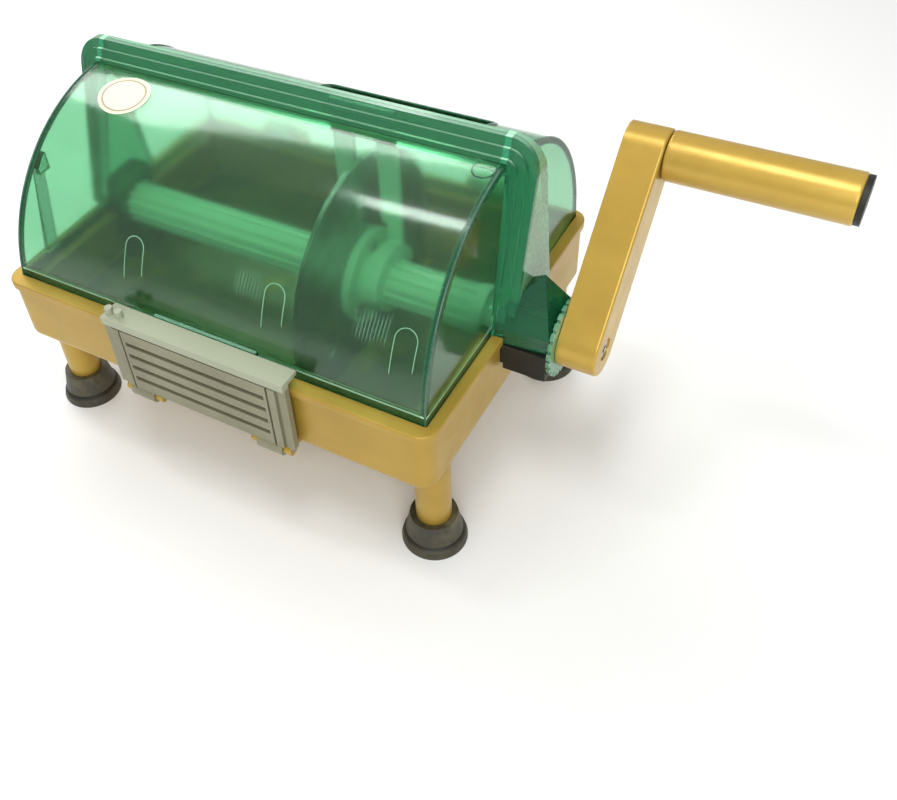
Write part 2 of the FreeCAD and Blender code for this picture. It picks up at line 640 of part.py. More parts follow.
def make_blank_label():
    """Blank oval label on the front cover, following its curve."""
    oval = Part.Ellipse(V(0, 0, 0), LABEL_HALF_X, LABEL_HALF_ARC)
    face = Part.Face(Part.Wire(oval.toShape()))
    column = on_hood(LABEL_X, LABEL_ANGLE, face.extrude(V(0, 0, BIG)))
    return column.common(hood_skin(HOOD_R + SEAT_FIT / 2, HOOD_R + SEAT_FIT / 2 + LABEL_T))


def make_fork():
    """Fork clamped between the flanges, whose two legs steady the hub on both sides of the blade."""
    y0 = FORK_Y
    y1 = y0 + FORK_T
    top = RIM_TOP + FORK_HEIGHT
    leg_z = AXIS_Z + HUB_R + FORK_HUB_GAP
    foot_z = AXIS_Z + NECK_R / 2
    pieces = [box(FORK_LEFT_X0, FORK_RIGHT_X1, y0, y1, top - FORK_BAR_H, top),
              box(FORK_LEFT_X0, FORK_LEFT_X1, y0, y1, leg_z, top),
              box(FORK_RIGHT_X0, FORK_RIGHT_X1, y0, y1, leg_z, top),
              box(FORK_LEFT_X0, FORK_FOOT_LEFT_X1, y0, y1, foot_z, leg_z + 1),
              box(FORK_FOOT_RIGHT_X0, FORK_RIGHT_X1, y0, y1, foot_z, leg_z + 1)]
    saddle_r = NECK_R + SADDLE_T
    for x0 in (LEFT_NECK_X0, FORK_FOOT_RIGHT_X0):
        pieces.append(cyl_x(AXIS_Y, AXIS_Z, saddle_r, x0, x0 + SADDLE_W))
    fork = fuse(pieces)
    below = box(-BIG, BIG, -BIG, BIG, -BIG, SPLIT_Z + 1)
    return cut(fork, [below, cyl_x(AXIS_Y, AXIS_Z, NECK_R + RUN_FIT, -BIG, BIG)])


def make_rotor_shaft():
    """Ribbed shaft with its two journals and the spigot for the crank arm."""
    core = shaft_solid([(LEFT_JOURNAL_X0, 0), (LEFT_JOURNAL_X0, LEFT_JOURNAL_R), (RIBBED_X0, LEFT_JOURNAL_R),
                        (RIBBED_X0, RIB_ROOT_R), (RIBBED_X1, RIB_ROOT_R), (RIBBED_X1, RIGHT_JOURNAL_R),
                        (ARM_X0, RIGHT_JOURNAL_R), (ARM_X0, SPIGOT_R), (ARM_X0 + SPIGOT_LENGTH, SPIGOT_R),
                        (ARM_X0 + SPIGOT_LENGTH, 0)])
    limit = cyl_x(AXIS_Y, AXIS_Z, RIB_TIP_R, RIBBED_X0, RIBBED_X1)
    blank = box(RIBBED_X0, RIBBED_X1, AXIS_Y - RIB_W / 2, AXIS_Y + RIB_W / 2, AXIS_Z, AXIS_Z + BIG)
    rib = blank.common(limit)
    ribs = [around_shaft(rib, i, RIB_COUNT) for i in range(RIB_COUNT)]
    screw = cyl_x(AXIS_Y, AXIS_Z, ARM_SCREW_R + SEAT_FIT, ARM_X0, BIG)
    return core.fuse(ribs).removeSplitter().cut(screw)


def blade_screw_line(r, x0, x1):
    """Cylinders on the blade screw circle."""
    first = cyl_x(AXIS_Y, AXIS_Z + BLADE_SCREW_PCD_R, r, x0, x1)
    return [around_shaft(first, i, BLADE_SCREW_COUNT) for i in range(BLADE_SCREW_COUNT)]


def make_blade_disc():
    """Round steel blade with a ground edge."""
    x0 = DISC_X - DISC_T / 2
    x1 = DISC_X + DISC_T / 2
    edge = DISC_EDGE_T / 2
    disc = shaft_solid([(x0, 0), (x0, DISC_R - DISC_EDGE_W), (DISC_X - edge, DISC_R),
                        (DISC_X + edge, DISC_R), (x1, DISC_R - DISC_EDGE_W), (x1, 0)])
    bore = cyl_x(AXIS_Y, AXIS_Z, RIB_TIP_R + SEAT_FIT, -BIG, BIG)
    hole = cyl_x(AXIS_Y, AXIS_Z + DISC_HOLE_PCD_R, DISC_HOLE_R, -BIG, BIG)
    holes = [around_shaft(hole, i, BLADE_SCREW_COUNT) for i in range(BLADE_SCREW_COUNT)]
    return cut(disc, [bore] + holes + blade_screw_line(BLADE_SCREW_R + HOLE_EXTRA, -BIG, BIG))


def make_hub(flange_x0, flange_x1, neck_x0, neck_x1):
    """Hub flange with its neck, sliding over the ribbed shaft."""
    flange = cyl_x(AXIS_Y, AXIS_Z, HUB_R, flange_x0, flange_x1)
    neck = cyl_x(AXIS_Y, AXIS_Z, NECK_R, neck_x0, neck_x1)
    bore = cyl_x(AXIS_Y, AXIS_Z, RIB_TIP_R + SEAT_FIT, -BIG, BIG)
    return cut(flange.fuse(neck), [bore] + blade_screw_line(BLADE_SCREW_R + HOLE_EXTRA, -BIG, BIG))


def make_blade_screws():
    """Three screws that clamp the blade between the hub flanges."""
    shanks = blade_screw_line(BLADE_SCREW_R, LEFT_FLANGE_X0, RIGHT_FLANGE_X1 + BLADE_SCREW_HEAD_H)
    heads = blade_screw_line(BLADE_SCREW_HEAD_R, RIGHT_FLANGE_X1, RIGHT_FLANGE_X1 + BLADE_SCREW_HEAD_H)
    return Part.makeCompound([fuse([shank, head]) for shank, head in zip(shanks, heads)])


def make_shaft_collar():
    """Plain collar on the shaft inside the right end wall."""
    ring = cyl_x(AXIS_Y, AXIS_Z, RING_R, RING_X0, RING_X1)
    return ring.cut(cyl_x(AXIS_Y, AXIS_Z, RIGHT_JOURNAL_R + SEAT_FIT, -BIG, BIG))


def make_drive_collar():
    """Toothed collar between the housing and the crank arm."""
    ring = cyl_x(AXIS_Y, AXIS_Z, DRIVE_R, DRIVE_X0, DRIVE_X1)
    slot = box(DRIVE_X0 - 1, DRIVE_X1 + 1, AXIS_Y - DRIVE_TOOTH / 2, AXIS_Y + DRIVE_TOOTH / 2,
               AXIS_Z + DRIVE_R - DRIVE_TOOTH, AXIS_Z + DRIVE_R + 1)
    slots = [around_shaft(slot, i, DRIVE_TEETH) for i in range(DRIVE_TEETH)]
    bore = cyl_x(AXIS_Y, AXIS_Z, RIGHT_JOURNAL_R + SEAT_FIT, -BIG, BIG)
    return cut(ring, slots + [bore])


def make_crank_arm():
    """Flat tapered arm with round ends, from the shaft to the grip."""
    hub = cyl_x(AXIS_Y, AXIS_Z, ARM_HUB_R, ARM_X0, ARM_X1)
    head = cyl_x(HEAD_Y, HEAD_Z, ARM_R, ARM_X0, ARM_X1)
    touch = math.acos((ARM_HUB_R - ARM_R) / CRANK_R)
    corners = [(distance + radius * math.cos(touch), side * radius * math.sin(touch))
               for distance, radius, side in ((0, ARM_HUB_R, -1), (CRANK_R, ARM_R, -1),
                                              (CRANK_R, ARM_R, 1), (0, ARM_HUB_R, 1))]
    bar = prism_x([(AXIS_Y + y, AXIS_Z + z) for y, z in corners], ARM_X0, ARM_X1)
    bar.rotate(V(0, AXIS_Y, AXIS_Z), V(1, 0, 0), CRANK_ANGLE)
    arm = fuse([hub, head, bar])
    rims = [e for e in arm.Edges if e.BoundBox.XMin > ARM_X1 - 0.01]
    arm = arm.makeFillet(ARM_EDGE_R, rims)
    pocket = cyl_x(AXIS_Y, AXIS_Z, ARM_SCREW_HEAD_R + SEAT_FIT, ARM_X1 - ARM_POCKET_DEPTH, BIG)
    socket = cyl_x(AXIS_Y, AXIS_Z, SPIGOT_R + SEAT_FIT, ARM_X0 - 1, ARM_X0 + SPIGOT_LENGTH + SEAT_FIT)
    screw = cyl_x(AXIS_Y, AXIS_Z, ARM_SCREW_R + SEAT_FIT, ARM_X0, BIG)
    axle = cyl_x(HEAD_Y, HEAD_Z, GRIP_AXLE_R + SEAT_FIT, ARM_X0 - 1, BIG)
    rivet = cyl_x(HEAD_Y, HEAD_Z, GRIP_AXLE_HEAD_R + SEAT_FIT, ARM_X0 - 1,
                  ARM_X0 + GRIP_AXLE_HEAD_H + SEAT_FIT)
    return cut(arm, [pocket, socket, screw, axle, rivet])


def make_arm_screw():
    """Screw that holds the arm on the shaft end."""
    seat = ARM_X1 - ARM_POCKET_DEPTH
    head = cyl_x(AXIS_Y, AXIS_Z, ARM_SCREW_HEAD_R, seat, seat + ARM_SCREW_HEAD_H)
    shank = cyl_x(AXIS_Y, AXIS_Z, ARM_SCREW_R, ARM_X0 + 1, seat + 1)
    slot_x = seat + ARM_SCREW_HEAD_H - CROSS_DEPTH
    cross = [box(slot_x, BIG, AXIS_Y - y, AXIS_Y + y, AXIS_Z - z, AXIS_Z + z)
             for y, z in ((CROSS_HALF_L, CROSS_HALF_W), (CROSS_HALF_W, CROSS_HALF_L))]
    return cut(fuse([head, shank]), cross)


def make_grip_axle():
    """Headed axle that carries the turning grip."""
    head = cyl_x(HEAD_Y, HEAD_Z, GRIP_AXLE_HEAD_R, ARM_X0 + SEAT_FIT, ARM_X0 + GRIP_AXLE_HEAD_H)
    return head.fuse(cyl_x(HEAD_Y, HEAD_Z, GRIP_AXLE_R, ARM_X0 + 1, GRIP_X1 - BODY_GAP)).removeSplitter()


def make_grip_sleeve():
    """Round grip that turns on the axle."""
    sleeve = cyl_x(HEAD_Y, HEAD_Z, GRIP_R, GRIP_X0, GRIP_X1)
    rims = [e for e in sleeve.Edges if e.BoundBox.XLength < 0.01]
    sleeve = sleeve.makeFillet(GRIP_EDGE_R, rims)
    return sleeve.cut(cyl_x(HEAD_Y, HEAD_Z, GRIP_AXLE_R + RUN_FIT, -BIG, BIG))


def make_grip_cap():
    """Dark cap that closes the grip's outer end."""
    return cyl_x(HEAD_Y, HEAD_Z, CAP_R, GRIP_X1 + SEAT_FIT / 2, GRIP_X1 + CAP_T)


def make_hinge_pins():
    """Two pins of the lid hinge."""
    reach = KNUCKLE_HALF_L + LUG_GAP + LUG_L
    middles = [side * HINGE_X for side in (-1, 1)]
    pins = [cyl_x(HINGE_Y, HINGE_Z, HINGE_PIN_R, x - reach, x + reach) for x in middles]
    return Part.makeCompound(pins)


def make_latch_pins():
    """Two pins of the latch, one through each lobe."""
    reach = LATCH_LOBE_L / 2 + LUG_GAP + LATCH_LUG_L
    middles = [LATCH_X + side * LATCH_LOBE_X for side in (-1, 1)]
    pins = [cyl_x(LATCH_PIN_Y, LATCH_PIN_Z, LATCH_PIN_R, x - reach, x + reach) for x in middles]
    return Part.makeCompound(pins)


def latch_panel():
    """Raised front panel with slots between its slats and upright grooves beside them."""
    y0 = LATCH_PLATE_Y0 - LATCH_SLAT_T
    y1 = LATCH_PLATE_Y0 + LATCH_PLATE_T / 2
    top = LATCH_TOP_Z - LATCH_STRIP_H - LATCH_TOP_GAP
    panel_half = LATCH_HALF_L - LATCH_SIDE_STEP
    slot_half = LATCH_HALF_L - LATCH_SLOT_END
    pitch = (top - LATCH_BOTTOM_Z) / LATCH_SLAT_COUNT
    cuts = []
    for i in range(1, LATCH_SLAT_COUNT):
        z = LATCH_BOTTOM_Z + i * pitch
        cuts.append(box(LATCH_X - slot_half, LATCH_X + slot_half, y0 - 1, y0 + LATCH_SLOT_DEPTH,
                        z - LATCH_SLOT_H / 2, z + LATCH_SLOT_H / 2))
    for side in (-1, 1):
        for inner in (slot_half + LATCH_GROOVE_W, panel_half - LATCH_GROOVE_W):
            x = LATCH_X + side * (inner + LATCH_GROOVE_W / 2)
            cuts.append(box(x - LATCH_GROOVE_W / 2, x + LATCH_GROOVE_W / 2, y0 - 1, LATCH_PLATE_Y0,
                            LATCH_BOTTOM_Z - 1, top + 1))
    panel = box(LATCH_X - panel_half, LATCH_X + panel_half, y0, y1, LATCH_BOTTOM_Z, top)
    return panel, cuts


def make_latch():
    """Latch with a slatted panel on the front wall, turning on two lobes at its foot."""
    x0 = LATCH_X - LATCH_HALF_L
    x1 = LATCH_X + LATCH_HALF_L
    plate_y1 = LATCH_PLATE_Y0 + LATCH_PLATE_T
    strip_z = LATCH_TOP_Z - LATCH_STRIP_H
    pieces = [box(x0, x1, LATCH_PLATE_Y0, plate_y1, LATCH_BOTTOM_Z, LATCH_TOP_Z),
              box(x0, x1, LATCH_PLATE_Y0 - LATCH_SLAT_T, plate_y1, strip_z, LATCH_TOP_Z),
              box(x0, x1, LATCH_PLATE_Y0, LATCH_PLATE_Y0 + LATCH_STRIP_REACH,
                  LATCH_TOP_Z - LATCH_HOOK_T, LATCH_TOP_Z)]
    for side in (-1, 1):
        middle = LATCH_X + side * LATCH_LOBE_X
        lobe_x0 = middle - LATCH_LOBE_L / 2
        lobe_x1 = middle + LATCH_LOBE_L / 2
        pieces.append(cyl_x(LATCH_PIN_Y, LATCH_PIN_Z, LATCH_LOBE_R, lobe_x0, lobe_x1))
        pieces.append(box(lobe_x0, lobe_x1, LATCH_PLATE_Y0, plate_y1, LATCH_PIN_Z, LATCH_BOTTOM_Z + 1))
        rail_x = LATCH_X + side * (LATCH_HALF_L - LATCH_SIDE_STEP / 2)
        pieces.append(box(rail_x - LATCH_SIDE_STEP / 2, rail_x + LATCH_SIDE_STEP / 2,
                          LATCH_PLATE_Y0 - LATCH_SLAT_T / 2, plate_y1, LATCH_BOTTOM_Z, LATCH_TOP_Z))
    for offset in LATCH_NUB_PLACES:
        pieces.append(cyl_z(x0 + offset, LATCH_PLATE_Y0 + LATCH_NUB_R, LATCH_NUB_R,
                            strip_z, LATCH_TOP_Z + LATCH_NUB_H))
    panel, cuts = latch_panel()
    pin = cyl_x(LATCH_PIN_Y, LATCH_PIN_Z, LATCH_PIN_R + RUN_FIT, -BIG, BIG)
    return cut(fuse(pieces + [panel]), cuts + [pin])


def main():
    """Write one STEP file for each piece."""
    os.makedirs("parts", exist_ok=True)
    shapes = {
        "tray": make_tray(),
        "lower_bearing_left": make_lower_bearing_left(),
        "lower_bearing_right": make_lower_bearing_right(),
        "hinge_pins": make_hinge_pins(),
        "latch_pins": make_latch_pins(),
        "latch": make_latch(),
        "front_cover": make_front_cover(),
        "rear_cover": make_rear_cover(),
        "bearing_cap_left": make_bearing_cap_left(),
        "bearing_cap_right": make_bearing_cap_right(),
        "blade_fork": make_fork(),
        "blank_label": make_blank_label(),
        "rotor_shaft": make_rotor_shaft(),
        "blade_disc": make_blade_disc(),
        "hub_flange_left": make_hub(LEFT_FLANGE_X0, LEFT_FLANGE_X1, LEFT_NECK_X0, LEFT_FLANGE_X1),
        "hub_flange_right": make_hub(RIGHT_FLANGE_X0, RIGHT_FLANGE_X1, RIGHT_FLANGE_X0, RIGHT_NECK_X1),
        "blade_screws": make_blade_screws(),
        "shaft_collar": make_shaft_collar(),
        "drive_collar": make_drive_collar(),
        "crank_arm": make_crank_arm(),
        "arm_screw": make_arm_screw(),
        "grip_axle": make_grip_axle(),
        "grip_sleeve": make_grip_sleeve(),
        "grip_cap": make_grip_cap(),
    }
    for name, x, y in leg_places():
        shapes["suction_cup_" + name] = make_cup(x, y)
    for node, shape in shapes.items():
        print(node, len(shape.Solids), round(shape.Volume), shape.isValid())
        shape.exportStep("parts/" + node + ".step")


main()
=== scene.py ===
"""Looks of the rotary vegetable cutter: finishes, studio light and camera around the frame.

Lengths are in metres, in the frame's own axes: +X along the shaft towards the crank, +Y to the
rear, +Z up.
"""

import json
import logging
import math
from dataclasses import dataclass, field
from enum import Enum
from typing import Any, Dict, List, Optional, Tuple, Union

import bmesh
import bpy
from mathutils import Matrix, Vector

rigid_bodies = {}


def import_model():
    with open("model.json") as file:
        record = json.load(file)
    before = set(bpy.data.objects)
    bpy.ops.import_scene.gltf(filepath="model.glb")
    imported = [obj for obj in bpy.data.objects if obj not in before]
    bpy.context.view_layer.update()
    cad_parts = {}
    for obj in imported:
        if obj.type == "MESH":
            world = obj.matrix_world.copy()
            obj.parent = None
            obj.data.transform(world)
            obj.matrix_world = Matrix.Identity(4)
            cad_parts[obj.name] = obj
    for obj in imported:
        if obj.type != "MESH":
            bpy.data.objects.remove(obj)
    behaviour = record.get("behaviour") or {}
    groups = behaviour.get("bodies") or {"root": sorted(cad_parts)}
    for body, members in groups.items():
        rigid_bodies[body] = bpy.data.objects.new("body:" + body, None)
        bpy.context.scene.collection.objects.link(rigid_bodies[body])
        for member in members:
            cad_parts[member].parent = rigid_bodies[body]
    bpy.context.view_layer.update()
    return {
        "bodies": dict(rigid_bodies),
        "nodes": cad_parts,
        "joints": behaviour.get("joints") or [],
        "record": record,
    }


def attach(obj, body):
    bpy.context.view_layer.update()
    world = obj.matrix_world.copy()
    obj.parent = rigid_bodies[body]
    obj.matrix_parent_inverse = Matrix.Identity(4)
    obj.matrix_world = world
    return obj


LOG = logging.getLogger("vegetable_cutter")

Colour = Tuple[float, float, float]
Number = Union[int, float]
Span = Tuple[float, float]

MM = 0.001

# The shaft's axis, and the top of the tray's rim.
AXIS_Y = 1.0 * MM
AXIS_Z = 90.6 * MM
RIM_TOP = 95.0 * MM

# The outer arcs of the hood and of the rear cover's roof, each about a line along X.
HOOD_Y = 7.0 * MM
HOOD_Z = 85.5 * MM
HOOD_R = 88.4 * MM
BACK_Y = 20.3 * MM
BACK_Z = 103.4 * MM
BACK_R = 64.5 * MM

# The covers' ends at the rim's height, the ends' slope, and the joint between the covers.
COVER_END_X = 119.0 * MM
DRAFT = 0.05
JOINT_Y = -12.4 * MM
JOINT_LEAN = 0.27

# The latch's middle, and the foot of its pale top strip.
LATCH_X = 1.7 * MM
LATCH_STRIP_Z = 98.0 * MM

# Sides of the round bars that the beads are drawn out from, and how near their ends join.
BAR_SIDES = 12
JOIN_REACH = 0.02 * MM


def scaled(colour: Colour, factor: float) -> Colour:
    """The colour made darker or brighter, up to 1."""
    red, green, blue = (min(1.0, part * factor) for part in colour)
    return red, green, blue


def link_object(name: str, data: Any) -> bpy.types.Object:
    """Put an object into the scene.

    Args:
        name: Name of the object.
        data: Its mesh, lamp or camera.

    Returns:
        The object.
    """
    made = bpy.data.objects.new(name, data)
    bpy.context.scene.collection.objects.link(made)
    return made


def middle_of(part: Any) -> Tuple[float, ...]:
    """Middle of a work mesh's vertex, edge or face, to a thousandth of a millimetre.

    Args:
        part: The vertex, edge or face.

    Returns:
        The middle, in millimetres.
    """
    verts = [part] if isinstance(part, bmesh.types.BMVert) else part.verts
    middle = sum((vert.co for vert in verts), Vector()) / len(verts)
    return tuple(round(value / MM, 3) for value in middle)


def set_in_order(work: bmesh.types.BMesh) -> None:
    """Number the parts of a work mesh by their place, so that each run gives the same mesh.

    Args:
        work: The work mesh.
    """
    for parts in (work.verts, work.edges, work.faces):
        rank = {part: index for index, part in enumerate(sorted(parts, key=middle_of))}
        parts.sort(key=rank.__getitem__)


class Blend(Enum):
    """How two colours are joined."""

    MIX = "MIX"
    MULTIPLY = "MULTIPLY"


class Socket:
    """A shader output that can be used in Python arithmetic.

    Each operator adds the Math node that it stands for.
    """

    def __init__(self, shader: "Shader", link: bpy.types.NodeSocket) -> None:
        """Keep the node tree's builder and the output.

        Args:
            shader: Builder of the tree that the output belongs to.
            link: The output socket.
        """
        self.shader = shader
        self.link = link

    def _math(self, operation: str, first: Any, second: Any = None,
              clamp: bool = False) -> "Socket":
        """Math node of one operation.

        Args:
            operation: Name of the operation.
            first: First value or socket.
            second: Second value or socket, where the operation has one.
            clamp: Whether the result stays between 0 and 1.

        Returns:
            The node's result.
        """
        settings = {"operation": operation, "use_clamp": clamp}
        values = {0: first} if second is None else {0: first, 1: second}
        return self.shader.node("ShaderNodeMath", settings, values)

    def __add__(self, other: Any) -> "Socket":
        """Sum."""
        return self._math("ADD", self, other)

    __radd__ = __add__

    def __sub__(self, other: Any) -> "Socket":
        """Difference."""
        return self._math("SUBTRACT", self, other)

    def __rsub__(self, other: Any) -> "Socket":
        """Difference, from a number."""
        return self._math("SUBTRACT", other, self)

    def __mul__(self, other: Any) -> "Socket":
        """Product."""
        return self._math("MULTIPLY", self, other)

    __rmul__ = __mul__

    def __truediv__(self, other: Any) -> "Socket":
        """Quotient."""
        return self._math("DIVIDE", self, other)

    def __pow__(self, other: Any) -> "Socket":
        """Power."""
        return self._math("POWER", self, other)

    def __abs__(self) -> "Socket":
        """Absolute value."""
        return self._math("ABSOLUTE", self)

    def clamped(self) -> "Socket":
        """The same value, kept between 0 and 1."""
        return self._math("ADD", self, 0.0, clamp=True)

    def above(self, limit: Number) -> "Socket":
        """1 where the value is over a limit, else 0."""
        return self._math("GREATER_THAN", self, limit)

    def below(self, limit: Number) -> "Socket":
        """1 where the value is under a limit, else 0."""
        return self._math("LESS_THAN", self, limit)

    def sine(self) -> "Socket":
        """Sine of an angle in radians."""
        return self._math("SINE", self)

    def fraction(self) -> "Socket":
        """Part after the point."""
        return self._math("FRACT", self)

    def angle_to(self, other: "Socket") -> "Socket":
        """Angle whose tangent is this value over another, in radians."""
        return self._math("ARCTAN2", self, other)

    def hypot(self, other: "Socket") -> "Socket":
        """Distance that this value and another one make at a right angle."""
        return (self * self + other * other) ** 0.5

    def ramp(self, low: Number, high: Number) -> "Socket":
        """Smooth step from 0 to 1.

        Args:
            low: Value where it starts.
            high: Value where it ends.

        Returns:
            The step.
        """
        settings = {"interpolation_type": "SMOOTHSTEP", "clamp": True}
        values = {"Value": self, "From Min": low, "From Max": high}
        return self.shader.node("ShaderNodeMapRange", settings, values)


class Shader:
    """Builder of one material's node tree."""

    def __init__(self, name: str) -> None:
        """Start an empty material.

        Args:
            name: Name of the material.
        """
        self.material = bpy.data.materials.new(name)
        self.material.use_nodes = True
        self.tree = self.material.node_tree
        self.tree.nodes.clear()
        self.output = self.tree.nodes.new("ShaderNodeOutputMaterial")

    def node(self, kind: str, settings: Optional[Dict[str, Any]] = None,
             values: Optional[Dict[Any, Any]] = None, result: Any = 0) -> Socket:
        """Add a node.

        Args:
            kind: Type name of the node.
            settings: Its own settings, set before its inputs.
            values: Values or sockets for its inputs, by name or place.
            result: Name or place of the output that is wanted.

        Returns:
            The wanted output.
        """
        made = self.tree.nodes.new(kind)
        for key, value in (settings or {}).items():
            setattr(made, key, value)
        for key, value in (values or {}).items():
            self._fill(made.inputs[key], value)
        return Socket(self, made.outputs[result])

    def _fill(self, entry: bpy.types.NodeSocket, value: Any) -> None:
        """Give an input its value or link.

        Args:
            entry: The input.
            value: A socket, a number or a sequence.
        """
        if isinstance(value, Socket):
            self.tree.links.new(value.link, entry)
        elif isinstance(value, (tuple, list)) and len(value) == 3 and entry.type == "RGBA":
            entry.default_value = (*value, 1.0)
        else:
            entry.default_value = value

    def place(self) -> Socket:
        """Object coordinates, which follow the piece."""
        return self.node("ShaderNodeTexCoord", result="Object")

    def axes(self) -> Tuple[Socket, Socket, Socket]:
        """Split the object coordinates.

        Returns:
            The coordinates along X, Y and Z.
        """
        split = self.node("ShaderNodeSeparateXYZ", values={0: self.place()})
        outputs = split.link.node.outputs
        return Socket(self, outputs[0]), Socket(self, outputs[1]), Socket(self, outputs[2])

    def noise(self, scale: Number, detail: Number = 3.0, rough: Number = 0.5,
              stretch: Tuple[float, float, float] = (1.0, 1.0, 1.0)) -> Socket:
        """Noise from 0 to 1.

        Args:
            scale: Cells per metre.
            detail: Octaves.
            rough: Share of the finer octaves.
            stretch: Factors on the three coordinates.

        Returns:
            The noise value.
        """
        spot = self.node("ShaderNodeMapping", values={"Vector": self.place(), "Scale": stretch})
        return self.node("ShaderNodeTexNoise", values={
            "Vector": spot, "Scale": scale, "Detail": detail, "Roughness": rough})

    def cells(self, scale: Number) -> Socket:
        """Distance to the nearest cell point, for grain."""
        return self.node("ShaderNodeTexVoronoi", values={"Vector": self.place(), "Scale": scale})

    def blend(self, factor: Any, first: Any, second: Any, how: Blend = Blend.MIX) -> Socket:
        """Mix of two colours.

        Args:
            factor: Share of the second colour.
            first: First colour or socket.
            second: Second colour or socket.
            how: Way of mixing.

        Returns:
            The mixed colour.
        """
        settings = {"data_type": "RGBA", "blend_type": how.value}
        return self.node("ShaderNodeMix", settings, {0: factor, 6: first, 7: second}, 2)

    def soft_edge(self, radius: Number) -> Socket:
        """Normal that rounds the piece's edges."""
        return self.node("ShaderNodeBevel", {"samples": 6}, {"Radius": radius})

    def edge_mask(self, radius: Number, gain: Number) -> Socket:
        """Mask that is 1 along the piece's edges.

        Args:
            radius: Reach of the edge.
            gain: Strength of the mask.

        Returns:
            The mask.
        """
        flat = self.node("ShaderNodeNewGeometry", result="Normal")
        dot = self.node("ShaderNodeVectorMath", {"operation": "DOT_PRODUCT"},
                        {0: self.soft_edge(radius), 1: flat}, "Value")
        return ((1.0 - dot) * gain).clamped()

    def bump(self, height: Socket, distance: Number, strength: Number = 1.0,
             normal: Optional[Socket] = None) -> Socket:
        """Bumped normal.

        Args:
            height: Height from 0 to 1.
            distance: Depth of the relief.
            strength: Share of the relief.
            normal: Normal to start from.

        Returns:
            The normal.
        """
        values = {"Height": height, "Distance": distance, "Strength": strength}
        if normal is not None:
            values["Normal"] = normal
        return self.node("ShaderNodeBump", values=values)

    def upward(self) -> Socket:
        """Find the faces that look straight up or down in the rest pose.

        Returns:
            1 on these faces, down to 0 on upright ones.
        """
        normal = self.node("ShaderNodeTexCoord", result="Normal")
        split = self.node("ShaderNodeSeparateXYZ", values={0: normal})
        return abs(Socket(self, split.link.node.outputs[2]))

    def surface(self, values: Dict[str, Any]) -> Socket:
        """One surface shader, from the values or sockets of its inputs."""
        return self.node("ShaderNodeBsdfPrincipled", values=values)

    def finish(self, values: Dict[str, Any]) -> bpy.types.Material:
        """End the tree in one surface shader.

        Args:
            values: Values or sockets of the shader.

        Returns:
            The finished material.
        """
        self.tree.links.new(self.surface(values).link, self.output.inputs["Surface"])
        return self.material

    def join(self, share: Socket, first: Socket, second: Socket) -> bpy.types.Material:
        """End the tree in a mix of two surface shaders.

        Args:
            share: Share of the second shader.
            first: First shader.
            second: Second shader.

        Returns:
            The finished material.
        """
        mixed = self.node("ShaderNodeMixShader", values={0: share, 1: first, 2: second})
        self.tree.links.new(mixed.link, self.output.inputs["Surface"])
        return self.material

    def absorb(self, colour: Colour, density: float) -> None:
        """Colour the light that passes through the inside.

        Args:
            colour: Colour that passes best.
            density: Strength per metre.
        """
        inside = self.node("ShaderNodeVolumeAbsorption",
                           values={"Color": colour, "Density": density})
        self.tree.links.new(inside.link, self.output.inputs["Volume"])


def hood_turn(y: Socket, z: Socket) -> Socket:
    """Angle about the hood's axis, from its top towards the front, in radians."""
    return (HOOD_Y - y).angle_to(z - HOOD_Z)


@dataclass(frozen=True)
class MouldedPlastic:
    """Opaque moulded plastic with fine grain, flow marks, and edges paler from wear and from
    painted highlights.
    """

    name: str
    colour: Colour
    shade: Colour
    worn_and_glint: Colour
    roughness: float = 0.34
    grain: float = 900.0
    grain_depth: float = 0.03 * MM
    edge: float = 0.6 * MM
    wear_and_glint_gain: float = 2.5
    gloss: float = 0.0
    gloss_roughness: float = 0.16
    pearl: float = 0.0
    ior: float = 1.5

    def flow(self, s: Shader) -> Socket:
        """Flow marks, drawn out along the shaft."""
        return s.noise(30.0, 3.0, 0.55, (0.25, 1.0, 1.6))

    def tone(self, s: Shader, flow: Socket) -> Socket:
        """Base colour, with broad patches and the flow marks."""
        broad = s.noise(22.0, 4.0, 0.6)
        return s.blend((broad * 0.7 + flow * 0.3).ramp(0.3, 0.75), self.colour, self.shade)

    def edge_wear_and_glint(self, s: Shader, base: Socket) -> Socket:
        """Base colour, paler along the edges, as wear and as painted edge highlights."""
        # Paler edges: partly wear, partly painted highlight where edges catch the light.
        edges = s.edge_mask(self.edge * 1.4, self.wear_and_glint_gain) * s.noise(140.0, 4.0).ramp(0.3, 0.6)
        return s.blend(edges * 0.6, base, self.worn_and_glint)

    def smudges(self, s: Shader) -> Socket:
        """Patches that are duller than the rest."""
        return s.noise(60.0, 5.0, 0.65).ramp(0.35, 0.8)

    def coated(self, s: Shader, base: Socket, rough: Socket,
               normal: Socket) -> bpy.types.Material:
        """End the tree in this plastic's surface.

        Args:
            s: The material's builder.
            base: Base colour.
            rough: Roughness.
            normal: Normal.

        Returns:
            The finished material.
        """
        return s.finish({"Base Color": base, "Roughness": rough, "Normal": normal,
                         "IOR": self.ior, "Metallic": self.pearl, "Coat Weight": self.gloss,
                         "Coat Roughness": self.gloss_roughness})

    def material(self) -> bpy.types.Material:
        """Build the material.

        Returns:
            The finished material.
        """
        s = Shader(self.name)
        flow = self.flow(s)
        specks = s.noise(2600.0, 2.0)
        base = self.tone(s, flow)
        base = s.blend(specks.ramp(0.55, 0.8) * 0.12, base, self.shade, Blend.MULTIPLY)
        base = self.edge_wear_and_glint(s, base)
        rough = self.smudges(s) * 0.12 + self.roughness + flow * 0.05
        relief = s.cells(self.grain) * 0.6 + s.noise(self.grain * 0.4, 3.0) * 0.4
        normal = s.bump(relief, self.grain_depth, 0.5, s.soft_edge(self.edge))
        return self.coated(s, base, rough, normal)


